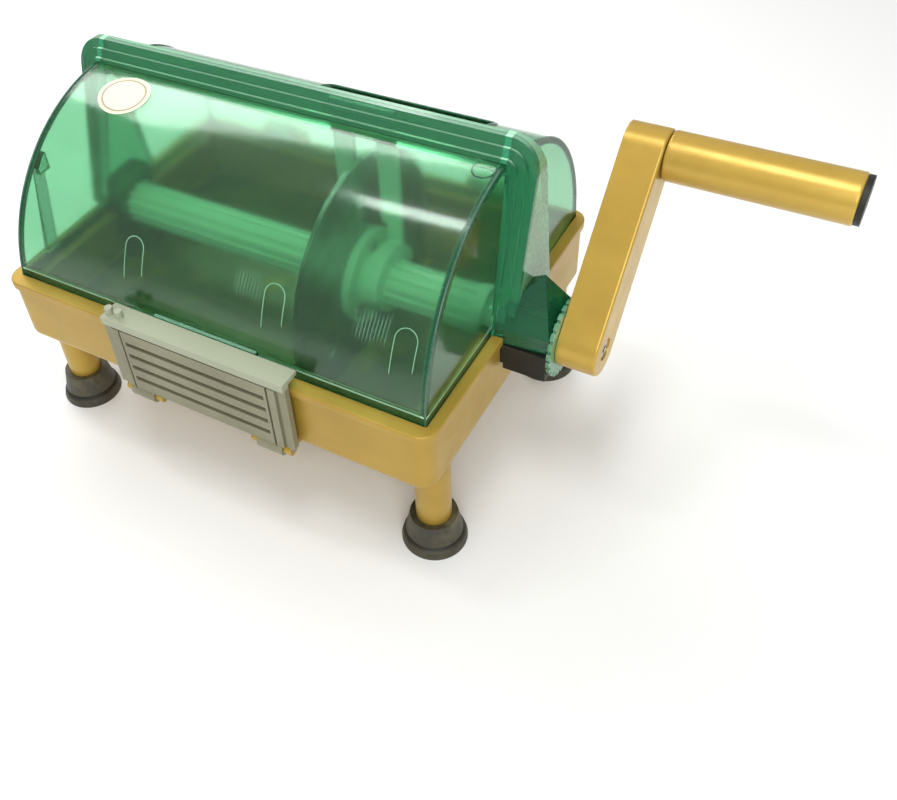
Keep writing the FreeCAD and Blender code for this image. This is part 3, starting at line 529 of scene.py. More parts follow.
@dataclass(frozen=True)
class TrayPlastic(MouldedPlastic):
    """Ochre plastic, with painted shade on the inside of the tray, lighter painted patches in it,
    and ejector marks below.
    """

    ior: float = 1.45
    # Colour of the painted shade inside the tray.
    shade_and_stain: Colour = (0.080, 0.088, 0.020)
    inner_x: Span = (118.5 * MM, 119.5 * MM)
    inner_y: Span = (82.5 * MM, 83.5 * MM)
    shade_fade: Span = (78.0 * MM, 92.5 * MM)
    floor_top: float = 57.2 * MM
    floor_under: float = 56.5 * MM
    mark_pitch: float = 40.0 * MM
    mark_radius: Span = (0.085, 0.095)

    def add_painted_shade(self, s: Shader, base: Socket, x: Socket, y: Socket, z: Socket) -> Socket:
        """Base colour with painted shade on the inside of the tray, broken by lighter painted
        patches.

        Args:
            s: The material's builder.
            base: The clean base colour.
            x: Object coordinate along the shaft.
            y: Object coordinate to the rear.
            z: Object coordinate upwards.

        Returns:
            The stained colour.
        """
        # Painted shade: the inside of the tray darkens to olive below the rim.
        inner = (1.0 - abs(x).ramp(*self.inner_x)) * (1.0 - abs(y).ramp(*self.inner_y))
        painted_shade = inner * (1.0 - z.ramp(*self.shade_fade)) * z.above(self.floor_top)
        # Painted light: lighter patches in the painted shade.
        patches = s.noise(16.0, 3.0, 0.55).ramp(0.50, 0.62)
        return s.blend(painted_shade * (0.92 - patches * 0.5), base, self.shade_and_stain)

    def ejector_marks(self, s: Shader, x: Socket, y: Socket, z: Socket) -> Socket:
        """Rows of round marks, sunk into the underside of the floor.

        Args:
            s: The material's builder.
            x: Object coordinate along the shaft.
            y: Object coordinate to the rear.
            z: Object coordinate upwards.

        Returns:
            Height of the relief.
        """
        under = s.upward().above(0.9) * z.below(self.floor_under)
        cell_x = (x / self.mark_pitch + 0.5).fraction() - 0.5
        cell_y = (y / self.mark_pitch + 0.5).fraction() - 0.5
        return cell_x.hypot(cell_y).ramp(*self.mark_radius) * under

    def material(self) -> bpy.types.Material:
        """Build the material.

        Returns:
            The finished material.
        """
        s = Shader(self.name)
        x, y, z = s.axes()
        flow = self.flow(s)
        base = self.add_painted_shade(s, self.edge_wear_and_glint(s, self.tone(s, flow)), x, y, z)
        rough = self.smudges(s) * 0.14 + flow * 0.05 + self.roughness
        relief = s.cells(self.grain) * 0.2 + self.ejector_marks(s, x, y, z)
        normal = s.bump(relief, self.grain_depth * 3.0, 0.6, s.soft_edge(self.edge))
        return self.coated(s, base, rough, normal)


@dataclass(frozen=True)
class ClearPlastic:
    """Clear tinted plastic with a little milk in it, which deepens in thick places."""

    name: str
    tint: Colour
    inside: Colour
    density: float
    milk: Colour
    haze: float
    roughness: float = 0.05
    ior: float = 1.49

    def clear(self, s: Shader) -> Socket:
        """The clear share of the surface, with scuffs, hair scratches and a slow ripple.

        Args:
            s: The material's builder.

        Returns:
            The surface shader.
        """
        drift = s.noise(9.0, 3.0, 0.5, (0.4, 1.0, 1.0))
        base = s.blend(drift, self.tint, scaled(self.tint, 1.05))
        scuffs = s.noise(75.0, 6.0, 0.7).ramp(0.52, 0.78)
        hair = s.noise(320.0, 3.0, 0.6, (0.05, 1.0, 1.0)).ramp(0.6, 0.72)
        rough = scuffs * 0.06 + hair * 0.05 + self.roughness
        ripple = s.noise(14.0, 2.0, 0.4) * 0.8 + s.noise(45.0, 2.0) * 0.2
        return s.surface({"Base Color": base, "Roughness": rough,
                          "Normal": s.bump(ripple, 0.6 * MM, 0.35), "IOR": self.ior,
                          "Specular IOR Level": 0.14, "Transmission Weight": 1.0,
                          "Coat Weight": 0.10, "Coat Roughness": 0.36})

    def milky(self, s: Shader, colour: Any) -> Socket:
        """The milky share of the surface.

        Args:
            s: The material's builder.
            colour: Its colour.

        Returns:
            The surface shader.
        """
        grain = s.noise(500.0, 3.0)
        return s.surface({"Base Color": colour, "Roughness": grain * 0.1 + 0.22,
                          "IOR": self.ior, "Normal": s.bump(grain, 0.02 * MM, 0.4)})

    def material(self) -> bpy.types.Material:
        """Build the material.

        Returns:
            The finished material.
        """
        s = Shader(self.name)
        cloud = s.noise(40.0, 4.0, 0.6)
        colour = s.blend(cloud * 0.5, self.milk, scaled(self.milk, 0.7))
        share = (cloud * 0.12 + self.haze).clamped()
        s.absorb(self.inside, self.density)
        return s.join(share, self.clear(s), self.milky(s, colour))


@dataclass(frozen=True)
class Scratches:
    """Bundles of fine parallel lines on the front of the hood."""

    bundles: Tuple[Span, ...] = ((24.0 * MM, 6.0 * MM), (88.0 * MM, 7.0 * MM))
    fade: float = 3.0 * MM
    slant: float = 6.0 * MM
    lines: float = 3600.0
    upper: Span = (0.92, 0.99)
    lower: Span = (1.08, 1.15)
    strength: float = 0.2

    def share(self, s: Shader, x: Socket, turn: Socket) -> Socket:
        """Share of milk that the lines add.

        Args:
            s: The material's builder.
            x: Object coordinate along the shaft.
            turn: Angle about the hood's axis.

        Returns:
            The share.
        """
        wave = ((x + turn * self.slant) * self.lines).sine().ramp(0.35, 1.0)
        reach = turn.ramp(*self.upper) * (1.0 - turn.ramp(*self.lower))
        reach = reach * s.noise(60.0, 2.0).ramp(0.3, 0.6)
        near = sum(1.0 - abs(x - middle).ramp(half, half + self.fade)
                   for middle, half in self.bundles)
        return wave * reach * near * self.strength


@dataclass(frozen=True)
class CoverZones:
    """Masks of the zones of the two covers, 1 inside a zone and 0 outside it."""

    # corner and foot mark where the painted dark shade goes.
    corner: Socket
    foot: Socket
    line: Socket
    rib: Socket
    front_flange: Socket
    back_flange: Socket


@dataclass(frozen=True)
class CoverPlastic(ClearPlastic):
    """Clear plastic of the two covers, with painted dark green shade where an edge is seen
    through its width, painted light on the flanges' upward faces and a painted reflection on the
    rear flange.
    """

    # Colour of the painted dark shade at the edges, the hood's foot and the flange steps.
    edge_shade: Colour = (0.006, 0.085, 0.035)
    face: Colour = (0.035, 0.30, 0.145)
    # pale is also the painted light on the flanges' upward faces.
    pale: Colour = (0.44, 0.84, 0.58)
    # Colour of the painted reflection of the bright surroundings on the rear flange.
    cream: Colour = (0.34, 0.64, 0.36)
    rib: Colour = (0.02, 0.36, 0.15)
    scratches: Scratches = Scratches()
    inner_skin: Span = (-3.1 * MM, -2.3 * MM)
    inner_end: Span = (-3.2 * MM, -2.2 * MM)
    foot_top: float = 2.8 * MM
    foot_line: Span = (3.5 * MM, 4.5 * MM)
    rib_right: float = -109.0 * MM
    rib_rear: float = -46.0 * MM
    rib_skin: float = -2.6 * MM
    rib_end: float = 2.5 * MM
    flange_end: float = 0.4 * MM
    flange_skin: float = 0.7 * MM
    step_edge: float = 0.9 * MM
    slack: float = 0.3 * MM

    def zones(self, x: Socket, y: Socket, z: Socket) -> CoverZones:
        """Masks of the covers' zones.

        Args:
            x: Object coordinate along the shaft.
            y: Object coordinate to the rear.
            z: Object coordinate upwards.

        Returns:
            The masks.
        """
        rise = z - RIM_TOP
        end = abs(x) + rise * DRAFT - COVER_END_X
        joint = y - rise * JOINT_LEAN - JOINT_Y
        front = joint.below(0.0)
        back = joint.above(0.0)
        hood = (y - HOOD_Y).hypot(z - HOOD_Z) - HOOD_R
        roof = (y - BACK_Y).hypot(z - BACK_Z) - BACK_R
        skin = front * hood + back * roof
        between = end.below(self.slack)
        low, high = self.foot_line
        rib = x.below(self.rib_right) * y.below(self.rib_rear) * skin.below(self.rib_skin)
        outside = end.above(self.flange_end) + skin.above(self.flange_skin)
        flange = outside.clamped() * rise.above(self.slack)
        return CoverZones(
            corner=skin.ramp(*self.inner_skin) * end.ramp(*self.inner_end) * between,
            foot=rise.below(self.foot_top) * front,
            line=rise.above(low) * rise.below(high) * front * between,
            rib=rib * (x + COVER_END_X - rise * DRAFT).above(self.rib_end),
            front_flange=flange * front,
            back_flange=flange * back)

    def tinted(self, s: Shader, zones: CoverZones, cloud: Socket, fine: Socket) -> Socket:
        """Colour of the milky share.

        Args:
            s: The material's builder.
            zones: Masks of the zones.
            cloud: Slow noise.
            fine: Share of milk in the scratches.

        Returns:
            The colour.
        """
        # Painted light: faces that look straight up or down are made paler on both flanges.
        top = s.upward().ramp(0.6, 0.95)
        colour = s.blend(cloud * 0.6, self.milk, scaled(self.milk, 0.7))
        # Painted shade: dark green at the inner corners of the cover ends and along the hood's
        # foot.
        colour = s.blend((zones.corner + zones.foot).clamped(), colour, self.edge_shade)
        colour = s.blend(zones.rib * 0.85, colour, self.rib)
        colour = s.blend(zones.front_flange, colour, s.blend(top, self.face, self.pale))
        # Painted reflection: the rear flange turns cream.
        colour = s.blend(zones.back_flange, colour, s.blend(top, self.cream, self.pale))
        # Painted shade: dark lines along the front flange's steps.
        steps = s.edge_mask(self.step_edge, 3.0) * zones.front_flange
        colour = s.blend(steps * 0.75, colour, self.edge_shade)
        return s.blend((zones.line + fine * 6.0).clamped(), colour, self.pale)

    def material(self) -> bpy.types.Material:
        """Build the material.

        Returns:
            The finished material.
        """
        s = Shader(self.name)
        x, y, z = s.axes()
        zones = self.zones(x, y, z)
        cloud = s.noise(28.0, 4.0, 0.6)
        dust = s.noise(180.0, 5.0, 0.7, (0.2, 1.0, 1.0)).ramp(0.55, 0.8) * 0.05
        fine = self.scratches.share(s, x, hood_turn(y, z))
        colour = self.tinted(s, zones, cloud, fine)
        # The milky share rises in each zone, so that the painted shade, painted light and painted
        # reflection show.
        share = cloud * 0.05 + dust + self.haze + zones.corner * 0.75 + zones.foot * 0.45
        share = share + zones.line * 0.5 + zones.rib * 0.5
        share = share + zones.front_flange * 0.30 + zones.back_flange * 0.45 + fine
        s.absorb(self.inside, self.density)
        return s.join(share.clamped(), self.clear(s), self.milky(s, colour))


@dataclass(frozen=True)
class LatchPlastic(MouldedPlastic):
    """Grey moulded plastic whose top strip is paler and whose slots are darkened with painted
    shade.
    """

    strip: Colour = (0.42, 0.46, 0.33)
    strip_fade: Span = (LATCH_STRIP_Z - 0.2 * MM, LATCH_STRIP_Z + 0.6 * MM)
    panel_half: float = 51.5 * MM
    panel_low: float = 59.5 * MM
    slot_depth: Span = (-92.2 * MM, -90.8 * MM)

    def material(self) -> bpy.types.Material:
        """Build the material.

        Returns:
            The finished material.
        """
        s = Shader(self.name)
        x, y, z = s.axes()
        broad = s.noise(30.0, 4.0, 0.6)
        front, back = self.slot_depth
        panel = abs(x - LATCH_X).below(self.panel_half)
        panel = panel * z.above(self.panel_low) * z.below(LATCH_STRIP_Z)
        slot_shade = y.above(front) * y.below(back) * panel
        base = s.blend(broad.ramp(0.3, 0.7), self.colour, self.shade)
        # Painted shade: the slots between the slats are darkened to near black.
        base = s.blend(slot_shade * 0.85, base, scaled(self.shade, 0.15))
        base = s.blend(z.ramp(*self.strip_fade) * 0.8, base, self.strip)
        # Paler edges: wear and painted edge highlights.
        base = s.blend(s.edge_mask(self.edge * 1.3, self.wear_and_glint_gain) * 0.5, base, self.worn_and_glint)
        normal = s.bump(s.cells(self.grain), self.grain_depth, 0.5, s.soft_edge(self.edge))
        rough = broad * 0.15 + self.roughness
        return s.finish({"Base Color": base, "Roughness": rough, "Normal": normal})


@dataclass(frozen=True)
class CupRubber:
    """Dull rubber, dusty where it is handled, with painted shade in its groove."""

    name: str
    colour: Colour
    dust: Colour
    # Colour of the painted shade in the groove.
    dark: Colour = (0.010, 0.009, 0.006)
    dusty: Span = (4.0 * MM, 18.0 * MM)
    groove_low: Span = (4.2 * MM, 5.0 * MM)
    groove_high: Span = (6.2 * MM, 7.4 * MM)
    edge: float = 0.7 * MM
    worn_edge: float = 0.9 * MM

    def material(self) -> bpy.types.Material:
        """Build the material.

        Returns:
            The finished material.
        """
        s = Shader(self.name)
        _, _, z = s.axes()
        haze = s.noise(90.0, 6.0, 0.7).ramp(0.35, 0.75)
        base = s.blend(haze * (z.ramp(*self.dusty) * 0.5 + 0.35), self.colour, self.dust)
        # Painted shade: the groove is darkened towards near black.
        groove_shade = z.ramp(*self.groove_low) * (1.0 - z.ramp(*self.groove_high))
        base = s.blend(groove_shade * 0.85, base, self.dark)
        edges = s.edge_mask(self.worn_edge, 2.5) * s.noise(200.0, 4.0)
        base = s.blend(edges * 0.5, base, self.dust)
        relief = s.noise(1500.0, 3.0) * 0.6 + s.noise(260.0, 3.0) * 0.4
        normal = s.bump(relief, 0.06 * MM, 0.7, s.soft_edge(self.edge))
        return s.finish({"Base Color": base, "Roughness": haze * 0.2 + 0.45, "Normal": normal})


@dataclass(frozen=True)
class GroundBlade:
    """Ground steel disc with turning lines about the shaft and a painted glint in two lobes
    across it.
    """

    name: str
    colour: Colour
    dark: Colour
    glint: Colour = (0.8, 0.85, 0.82)
    bright: Colour = (0.80, 0.83, 0.81)
    ground_from: Span = (64.3 * MM, 64.7 * MM)

    def material(self) -> bpy.types.Material:
        """Build the material.

        Returns:
            The finished material.
        """
        s = Shader(self.name)
        _, y, z = s.axes()
        across = y - AXIS_Y
        up = z - AXIS_Z
        radius = across.hypot(up)
        rings = s.node("ShaderNodeTexNoise", {"noise_dimensions": "1D"},
                       {"W": radius, "Scale": 1400.0, "Detail": 4.0})
        # Painted highlight: two narrow bright lobes at fixed angles round the shaft.
        glint_lobes = (across.angle_to(up) * 2.0 + 0.7).sine() * 0.5 + 0.5
        shade_and_stain = s.noise(45.0, 5.0, 0.65).ramp(0.4, 0.75)
        ground = radius.ramp(*self.ground_from)
        base = s.blend(rings * 0.6 + shade_and_stain * 0.4, self.colour, self.dark)
        base = s.blend(glint_lobes ** 6.0 * 0.35, base, self.glint)
        base = s.blend(ground * 0.7, base, self.bright)
        rough = rings * 0.12 + shade_and_stain * 0.1 + 0.24 - ground * 0.08
        normal = s.bump(rings, 0.03 * MM, 0.6)
        return s.finish({"Base Color": base, "Roughness": rough, "Normal": normal,
                         "Metallic": 1.0})


@dataclass(frozen=True)
class TurnedSteel:
    """Plain steel of pins, screws and axles."""

    name: str
    colour: Colour = (0.55, 0.55, 0.54)
    dull: Colour = (0.32, 0.3, 0.27)
    edge: float = 0.3 * MM

    def material(self) -> bpy.types.Material:
        """Build the material.

        Returns:
            The finished material.
        """
        s = Shader(self.name)
        lines = s.noise(700.0, 3.0, 0.6, (1.0, 0.08, 0.08))
        tarnish = s.noise(110.0, 5.0, 0.6).ramp(0.4, 0.8)
        base = s.blend(tarnish * 0.5, self.colour, self.dull)
        rough = lines * 0.18 + tarnish * 0.12 + 0.2
        normal = s.bump(lines, 0.02 * MM, 0.6, s.soft_edge(self.edge))
        return s.finish({"Base Color": base, "Roughness": rough, "Normal": normal,
                         "Metallic": 1.0})


@dataclass(frozen=True)
class LabelFilm:
    """Cream oval film with a plain ring near its edge and nothing else on it."""

    name: str
    cream: Colour
    ring: Colour
    centre_x: float
    centre_turn: float
    half_x: float
    half_arc: float
    ring_reach: Span = (0.78, 0.86)

    def material(self) -> bpy.types.Material:
        """Build the material.

        Returns:
            The finished material.
        """
        s = Shader(self.name)
        x, y, z = s.axes()
        along = (x - self.centre_x) / self.half_x
        around = (hood_turn(y, z) - self.centre_turn) * (HOOD_R / self.half_arc)
        out = along.hypot(around)
        inner, outer = self.ring_reach
        fibre = s.noise(900.0, 4.0, 0.6)
        base = s.blend(fibre * 0.25, self.cream, scaled(self.cream, 0.86))
        ring = out.above(inner) * out.below(outer)
        base = s.blend(ring * (fibre * 0.3 + 0.6), base, self.ring)
        normal = s.bump(fibre, 0.02 * MM, 0.5)
        return s.finish({"Base Color": base, "Roughness": fibre * 0.15 + 0.42,
                         "Normal": normal})


OCHRE = MouldedPlastic(
    "ochre_plastic", colour=(0.62, 0.41, 0.070), shade=(0.51, 0.32, 0.050),
    worn_and_glint=(0.88, 0.74, 0.32), roughness=0.27, gloss=0.15, pearl=0.4)
TRAY_OCHRE = TrayPlastic(
    "tray_plastic", colour=(0.49, 0.315, 0.046), shade=(0.40, 0.25, 0.034),
    worn_and_glint=(0.88, 0.74, 0.32), roughness=0.30, gloss=0.1, pearl=0.3)
LATCH_GREY = LatchPlastic(
    "latch_plastic", colour=(0.26, 0.25, 0.155), shade=(0.21, 0.20, 0.125),
    worn_and_glint=(0.66, 0.65, 0.50), roughness=0.42)
BLACK = MouldedPlastic(
    "black_plastic", colour=(0.010, 0.009, 0.005), shade=(0.006, 0.005, 0.003),
    worn_and_glint=(0.08, 0.07, 0.05), roughness=0.42)
PALE_GREEN = MouldedPlastic(
    "pale_green_plastic", colour=(0.66, 0.94, 0.73), shade=(0.52, 0.86, 0.60),
    worn_and_glint=(0.85, 0.97, 0.88), roughness=0.25, gloss=0.3)
# Dark tooth colour whose pale edges are wear and painted glints on the teeth.
TOOTH_GREEN = MouldedPlastic(
    "tooth_plastic", colour=(0.10, 0.36, 0.20), shade=(0.05, 0.22, 0.11),
    worn_and_glint=(0.72, 0.80, 0.60), roughness=0.3, edge=0.5 * MM, wear_and_glint_gain=5.0, gloss=0.4)
COVER_GREEN = CoverPlastic(
    "clear_green", tint=(0.68, 0.955, 0.765), inside=(0.08, 0.80, 0.50), density=95.0,
    milk=(0.10, 0.40, 0.15), haze=0.045, roughness=0.105)
DEEP_GREEN = ClearPlastic(
    "green_plastic", tint=(0.30, 0.80, 0.52), inside=(0.10, 0.80, 0.50), density=60.0,
    milk=(0.02, 0.16, 0.075), haze=0.45, roughness=0.10)
HAZY_GREEN = MouldedPlastic(
    "mark_plastic", colour=(0.24, 0.55, 0.32), shade=(0.18, 0.46, 0.26),
    worn_and_glint=(0.45, 0.75, 0.52), roughness=0.3, gloss=0.4)
EDGE_GREEN = MouldedPlastic(
    "edge_plastic", colour=(0.012, 0.12, 0.055), shade=(0.008, 0.085, 0.04),
    worn_and_glint=(0.20, 0.50, 0.32), roughness=0.2, gloss=0.8)
CUP = CupRubber("cup_rubber", colour=(0.038, 0.034, 0.020), dust=(0.16, 0.14, 0.075))
BLADE = GroundBlade("blade_steel", colour=(0.42, 0.45, 0.43), dark=(0.17, 0.19, 0.18))
STEEL = TurnedSteel("steel")
LABEL = LabelFilm(
    "label_film", cream=(0.86, 0.83, 0.62), ring=(0.30, 0.22, 0.12), centre_x=-82.5 * MM,
    centre_turn=math.radians(13.7), half_x=14.5 * MM, half_arc=12.6 * MM)


@dataclass
class CadGroup:
    """CAD nodes that share one finish."""

    finish: Any
    nodes: List[str] = field(default_factory=list)

    def dress(self, frame: Dict[str, Any]) -> None:
        """Give each node the finish.

        Args:
            frame: The loaded frame.
        """
        material = self.finish.material()
        for name in self.nodes:
            mesh = frame["nodes"][name].data
            mesh.materials.clear()
            mesh.materials.append(material)
            LOG.info("dressed %s in %s", name, material.name)


@dataclass
class Relief:
    """Base of the small raised pieces that are modelled here."""

    material: bpy.types.Material
    body: str
    slot: str

    def add(self, name: str, work: bmesh.types.BMesh) -> bpy.types.Object:
        """Turn a finished work mesh into a piece that rides on the body.

        Args:
            name: Name of the piece.
            work: The work mesh, which is freed.

        Returns:
            The piece.
        """
        set_in_order(work)
        bmesh.ops.recalc_face_normals(work, faces=work.faces)
        for face in work.faces:
            face.smooth = True
        mesh = bpy.data.meshes.new(name)
        work.to_mesh(mesh)
        work.free()
        mesh.materials.append(self.material)
        piece = link_object(name, mesh)
        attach(piece, self.body)
        LOG.info("modelled %s on %s", name, self.body)
        return piece


@dataclass
class Bead:
    """Round bar drawn out in straight runs and bends in a flat plan, then laid on a surface."""

    thick: float
    start: Tuple[float, float]
    work: bmesh.types.BMesh = field(default_factory=bmesh.new)
    ring: List[bmesh.types.BMEdge] = field(default_factory=list)

    def __post_init__(self) -> None:
        """Draw the first ring, which looks along Y."""
        place = Matrix.Translation((*self.start, 0)) @ Matrix.Rotation(math.pi / 2, 4, "X")
        bmesh.ops.create_circle(self.work, segments=BAR_SIDES, radius=self.thick, matrix=place)
        self.ring = list(self.work.edges)

    def run(self, x: float, y: float, steps: int = 1) -> None:
        """Draw the bar out in a straight line.

        Args:
            x: Way along X.
            y: Way along Y.
            steps: Number of equal parts.
        """
        for _ in range(steps):
            made = bmesh.ops.extrude_edge_only(self.work, edges=self.ring)["geom"]
            ends = [item for item in made if isinstance(item, bmesh.types.BMVert)]
            bmesh.ops.translate(self.work, verts=ends, vec=(x / steps, y / steps, 0))
            self.ring = [item for item in made if isinstance(item, bmesh.types.BMEdge)
                         and all(end in ends for end in item.verts)]

    def bend(self, x: float, y: float, angle: float, steps: int) -> None:
        """Draw the bar out round a centre.

        Args:
            x: Centre along X.
            y: Centre along Y.
            angle: Angle in radians, counter-clockwise.
            steps: Number of equal parts.
        """
        made = bmesh.ops.spin(self.work, geom=self.ring, cent=(x, y, 0), axis=(0, 0, 1),
                              angle=angle, steps=steps)
        self.ring = [item for item in made["geom_last"] if isinstance(item, bmesh.types.BMEdge)]

    def close(self) -> None:
        """Join the last ring to the first one where they meet, or else cap both ends."""
        set_in_order(self.work)
        bmesh.ops.remove_doubles(self.work, verts=self.work.verts, dist=JOIN_REACH)
        bmesh.ops.holes_fill(self.work, edges=self.work.edges)

    def lay_on_hood(self, x: float, turn: float) -> bmesh.types.BMesh:
        """Lay the plan on the hood, with its origin at the given place.

        Args:
            x: Place along the shaft.
            turn: Angle from the top of the hood's arc, to the front.

        Returns:
            The work mesh.
        """
        for vert in self.work.verts:
            angle = turn - vert.co.y / HOOD_R
            reach = HOOD_R + vert.co.z
            vert.co = (x + vert.co.x, HOOD_Y - reach * math.sin(angle),
                       HOOD_Z + reach * math.cos(angle))
        return self.work

    def lay_on_roof(self) -> bmesh.types.BMesh:
        """Lay the plan, which is seen from above, on the rear cover's roof.

        Returns:
            The work mesh.
        """
        for vert in self.work.verts:
            rise = math.sqrt(BACK_R ** 2 - (vert.co.y - BACK_Y) ** 2)
            vert.co.z += BACK_Z + rise
        return self.work


@dataclass
class FeedLip(Relief):
    """Rounded lip round the feed opening in the rear cover's roof."""

    low: Tuple[float, float] = (-4.0 * MM, 26.0 * MM)
    high: Tuple[float, float] = (88.0 * MM, 56.0 * MM)
    corner: float = 6.0 * MM
    thick: float = 1.0 * MM
    side_steps: int = 8
    corner_steps: int = 10

    def build(self) -> None:
        """Build the lip, counter-clockwise from the front end of its right side."""
        right, rear = self.high[0] - self.corner, self.high[1] - self.corner
        left, front = self.low[0] + self.corner, self.low[1] + self.corner
        bead = Bead(self.thick, (self.high[0], front))
        for centre, way, steps in (((right, rear), (0, rear - front), self.side_steps),
                                   ((left, rear), (left - right, 0), 1),
                                   ((left, front), (0, front - rear), self.side_steps),
                                   ((right, front), (right - left, 0), 1)):
            bead.run(*way, steps)
            bead.bend(*centre, math.pi / 2, self.corner_steps)
        bead.close()
        self.add("feed_lip", bead.lay_on_roof())


@dataclass
class HoodMarks(Relief):
    """Three raised arch marks of the mould on the front of the hood."""

    places: Tuple[float, ...] = (-42.0 * MM, 38.5 * MM, 104.7 * MM)
    turn: float = math.radians(60.0)
    half_width: float = 5.4 * MM
    leg: float = 13.0 * MM
    left_leg_share: float = 1.3
    thick: float = 0.22 * MM
    right_steps: int = 6
    arch_steps: int = 20
    left_steps: int = 8

    def build(self) -> None:
        """Build the three marks."""
        for index, x in enumerate(self.places):
            self.add("hood_mark_%d" % (index + 1), self.arch(x))

    def arch(self, x: float) -> bmesh.types.BMesh:
        """One arch, bent round the hood.

        Args:
            x: Middle of the arch along the shaft.

        Returns:
            The work mesh.
        """
        bead = Bead(self.thick, (self.half_width, -self.leg))
        bead.run(0, self.leg, self.right_steps)
        bead.bend(0, 0, math.pi, self.arch_steps)
        bead.run(0, -self.leg * self.left_leg_share, self.left_steps)
        bead.close()
        return bead.lay_on_hood(x, self.turn)


@dataclass
class GateRing(Relief):
    """Round bead at the foot of the small disc where the plastic ran into the mould."""

    place_x: float = 107.7 * MM
    turn: float = math.radians(6.3)
    radius: float = 5.2 * MM
    thick: float = 0.35 * MM
    steps: int = 40

    def build(self) -> None:
        """Build the ring."""
        bead = Bead(self.thick, (self.radius, 0))
        bead.bend(0, 0, 2 * math.pi, self.steps)
        bead.close()
        self.add("gate_ring", bead.lay_on_hood(self.place_x, self.turn))


@dataclass
class EndBeads(Relief):
    """Thin raised bead along each end of a cover, round its arc."""

    name: str
    centre: Tuple[float, float]
    radius: float
    foot: float
    top: float
    thick: float = 0.55 * MM
    steps: int = 64

    def build(self) -> None:
        """Build the two beads."""
        for side, word in ((-1, "left"), (1, "right")):
            self.add("%s_bead_%s" % (self.name, word), self.bead(side))

    def bead(self, side: int) -> bmesh.types.BMesh:
        """One bead.

        Args:
            side: -1 for the left end, 1 for the right end.

        Returns:
            The work mesh.
        """
        work = bmesh.new()
        centre = Vector((side * (COVER_END_X - self.thick), *self.centre))
        start = (Matrix.Translation(centre) @ Matrix.Rotation(self.foot, 4, "X")
                 @ Matrix.Translation((0, 0, self.radius)) @ Matrix.Rotation(math.pi / 2, 4, "X"))
        bmesh.ops.create_circle(work, segments=BAR_SIDES, radius=self.thick, matrix=start)
        bmesh.ops.spin(work, geom=list(work.edges), cent=centre, axis=(1, 0, 0),
                       angle=self.top - self.foot, steps=self.steps)
        bmesh.ops.holes_fill(work, edges=work.edges)
        for vert in work.verts:
            vert.co.x -= side * DRAFT * (vert.co.z - RIM_TOP)
        return work


@dataclass(frozen=True)
class Lamp:
    """Large soft lamp that faces the object."""

    name: str
    place: Tuple[float, float, float]
    size: Tuple[float, float]
    power: float
    aim: Tuple[float, float, float] = (0.03, 0.0, 0.08)

    def build(self) -> None:
        """Put the lamp into the scene."""
        data = bpy.data.lights.new(self.name, "AREA")
        data.shape = "RECTANGLE"
        data.size, data.size_y = self.size
        data.energy = self.power
        lamp = link_object(self.name, data)
        lamp.location = self.place
        way = Vector(self.aim) - Vector(self.place)
        lamp.rotation_euler = way.to_track_quat("-Z", "Y").to_euler()


@dataclass
class PhotoCamera:
    """Camera where the photograph was taken; focal length, centre and size are in pixels."""

    azimuth: float = 34.8
    elevation: float = 44.57
    roll: float = -6.04
    offset_x: float = -34.69 * MM
    offset_y: float = 62.85 * MM
    distance: float = 530.01 * MM
    focal: float = 1018.54
    centre_x: float = 364.18
    centre_y: float = 366.82
    width: float = 897.0
    height: float = 800.0
    sensor: float = 36.0

    def placed(self) -> Matrix:
        """Find where the camera stands and how it is turned.

        Returns:
            The camera's matrix.
        """
        a = math.radians(self.azimuth)
        e = math.radians(self.elevation)
        r = math.radians(self.roll)
        back = Vector((math.sin(a) * math.cos(e), -math.cos(a) * math.cos(e), math.sin(e)))
        level = Vector((math.cos(a), math.sin(a), 0.0))
        upright = level.cross(-back)
        right = level * math.cos(r) + upright * math.sin(r)
        up = upright * math.cos(r) - level * math.sin(r)
        place = (back * self.distance - right * self.offset_x - up * self.offset_y
                 + Vector((0, 0, RIM_TOP)))
        return Matrix.Translation(place) @ Matrix((right, up, back)).transposed().to_4x4()

    def build(self) -> None:
        """Put the camera into the scene, with the photograph's lens and framing."""
        data = bpy.data.cameras.new("camera")
        data.sensor_fit = "HORIZONTAL"
        data.sensor_width = self.sensor
        data.lens = self.focal * self.sensor / self.width
        data.shift_x = (self.width / 2 - self.centre_x) / self.width
        data.shift_y = (self.centre_y - self.height / 2) / self.width
        data.clip_start = 10.0 * MM
        camera = link_object("camera", data)
        camera.matrix_world = self.placed()
        bpy.context.scene.camera = camera


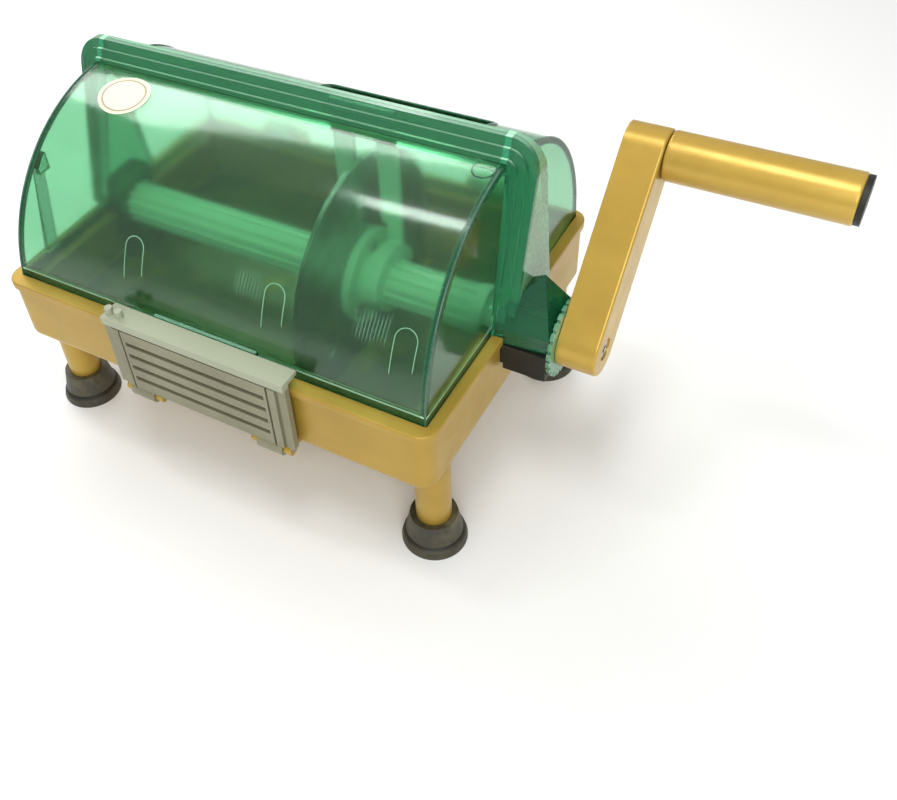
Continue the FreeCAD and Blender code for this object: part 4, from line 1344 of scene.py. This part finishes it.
@dataclass
class Studio:
    """Pale floor, soft white surroundings, lamps and camera.

    The floor ends in a backdrop, and the surroundings are brighter where the camera sees them.
    """

    white: Colour = (1.0, 1.0, 0.98)
    light: float = 0.5
    seen_light: float = 0.92
    floor_half: float = 3.0
    floor_tones: Tuple[Colour, Colour] = ((0.945, 0.955, 0.95), (0.958, 0.966, 0.962))
    backdrop_from: Span = (0.7, 1.6)
    lamps: Tuple[Lamp, ...] = (
        Lamp("key", (0.70, -0.95, 0.95), (0.8, 0.8), 8.5),
        Lamp("over_grip", (0.12, -0.20, 1.06), (0.22, 0.45), 2.6),
        Lamp("over_hood", (-0.235, -0.06, 1.0), (0.09, 0.24), 0.9),
        Lamp("window", (-0.46, 0.38, 0.72), (0.70, 0.28), 3.2),
    )

    def floor_material(self) -> bpy.types.Material:
        """Pale paper that turns into the backdrop far from the object.

        Returns:
            The finished material.
        """
        s = Shader("floor")
        base = s.blend(s.noise(3.0, 2.0), *self.floor_tones)
        x, y, _ = s.axes()
        far = x.hypot(y).ramp(*self.backdrop_from)
        seen = s.node("ShaderNodeLightPath", result="Is Camera Ray")
        paper = s.surface({"Base Color": base, "Roughness": 0.8, "Specular IOR Level": 0.2})
        backdrop = s.node("ShaderNodeEmission",
                          values={"Color": self.white, "Strength": self.seen_light})
        return s.join(far * seen, paper, backdrop)

    def build_floor(self) -> None:
        """Wide pale floor at the cups' feet."""
        mesh = bpy.data.meshes.new("floor")
        work = bmesh.new()
        bmesh.ops.create_grid(work, x_segments=1, y_segments=1, size=self.floor_half)
        work.to_mesh(mesh)
        work.free()
        mesh.materials.append(self.floor_material())
        floor = link_object("floor", mesh)

    def build_world(self) -> None:
        """Soft white surroundings."""
        world = bpy.data.worlds.new("surroundings")
        bpy.context.scene.world = world
        world.use_nodes = True
        tree = world.node_tree
        back = tree.nodes["Background"]
        back.inputs["Color"].default_value = (*self.white, 1.0)
        path = tree.nodes.new("ShaderNodeLightPath")
        seen = tree.nodes.new("ShaderNodeMapRange")
        seen.inputs["To Min"].default_value = self.light
        seen.inputs["To Max"].default_value = self.seen_light
        tree.links.new(path.outputs["Is Camera Ray"], seen.inputs["Value"])
        tree.links.new(seen.outputs["Result"], back.inputs["Strength"])

    def build(self) -> None:
        """Build the whole studio."""
        self.build_floor()
        self.build_world()
        for lamp in self.lamps:
            lamp.build()
        PhotoCamera().build()
        bpy.context.scene.view_settings.view_transform = "Standard"


def cad_groups() -> List[CadGroup]:
    """List the CAD nodes by finish.

    Returns:
        The groups, in the order in which they are dressed.
    """
    return [
        CadGroup(TRAY_OCHRE, ["tray"]),
        CadGroup(OCHRE, ["crank_arm", "grip_sleeve"]),
        CadGroup(CUP, ["suction_cup_front_left", "suction_cup_front_right",
                       "suction_cup_rear_left", "suction_cup_rear_right"]),
        CadGroup(BLACK, ["lower_bearing_left", "lower_bearing_right", "grip_cap"]),
        CadGroup(STEEL, ["hinge_pins", "latch_pins", "blade_screws", "arm_screw", "grip_axle"]),
        CadGroup(LATCH_GREY, ["latch"]),
        CadGroup(COVER_GREEN, ["front_cover", "rear_cover"]),
        CadGroup(DEEP_GREEN, ["bearing_cap_left", "bearing_cap_right"]),
        CadGroup(PALE_GREEN, ["blade_fork", "rotor_shaft", "hub_flange_left",
                              "hub_flange_right", "shaft_collar"]),
        CadGroup(TOOTH_GREEN, ["drive_collar"]),
        CadGroup(LABEL, ["blank_label"]),
        CadGroup(BLADE, ["blade_disc"]),
    ]


def main() -> None:
    """Dress the frame, add the small pieces, and light and frame it."""
    logging.basicConfig(level=logging.INFO, format="%(name)s: %(message)s")
    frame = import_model()
    for group in cad_groups():
        group.dress(frame)
    HoodMarks(HAZY_GREEN.material(), "lid", "clear_green").build()
    edge = EDGE_GREEN.material()
    FeedLip(edge, "lid", "clear_green").build()
    GateRing(edge, "lid", "clear_green").build()
    EndBeads(edge, "lid", "clear_green", "hood", (HOOD_Y, HOOD_Z), HOOD_R,
             foot=math.radians(85.6), top=math.radians(3.4)).build()
    EndBeads(edge, "lid", "clear_green", "roof", (BACK_Y, BACK_Z), BACK_R,
             foot=math.radians(-90), top=math.radians(-10)).build()
    Studio().build()


if __name__ == "__main__":
    main()
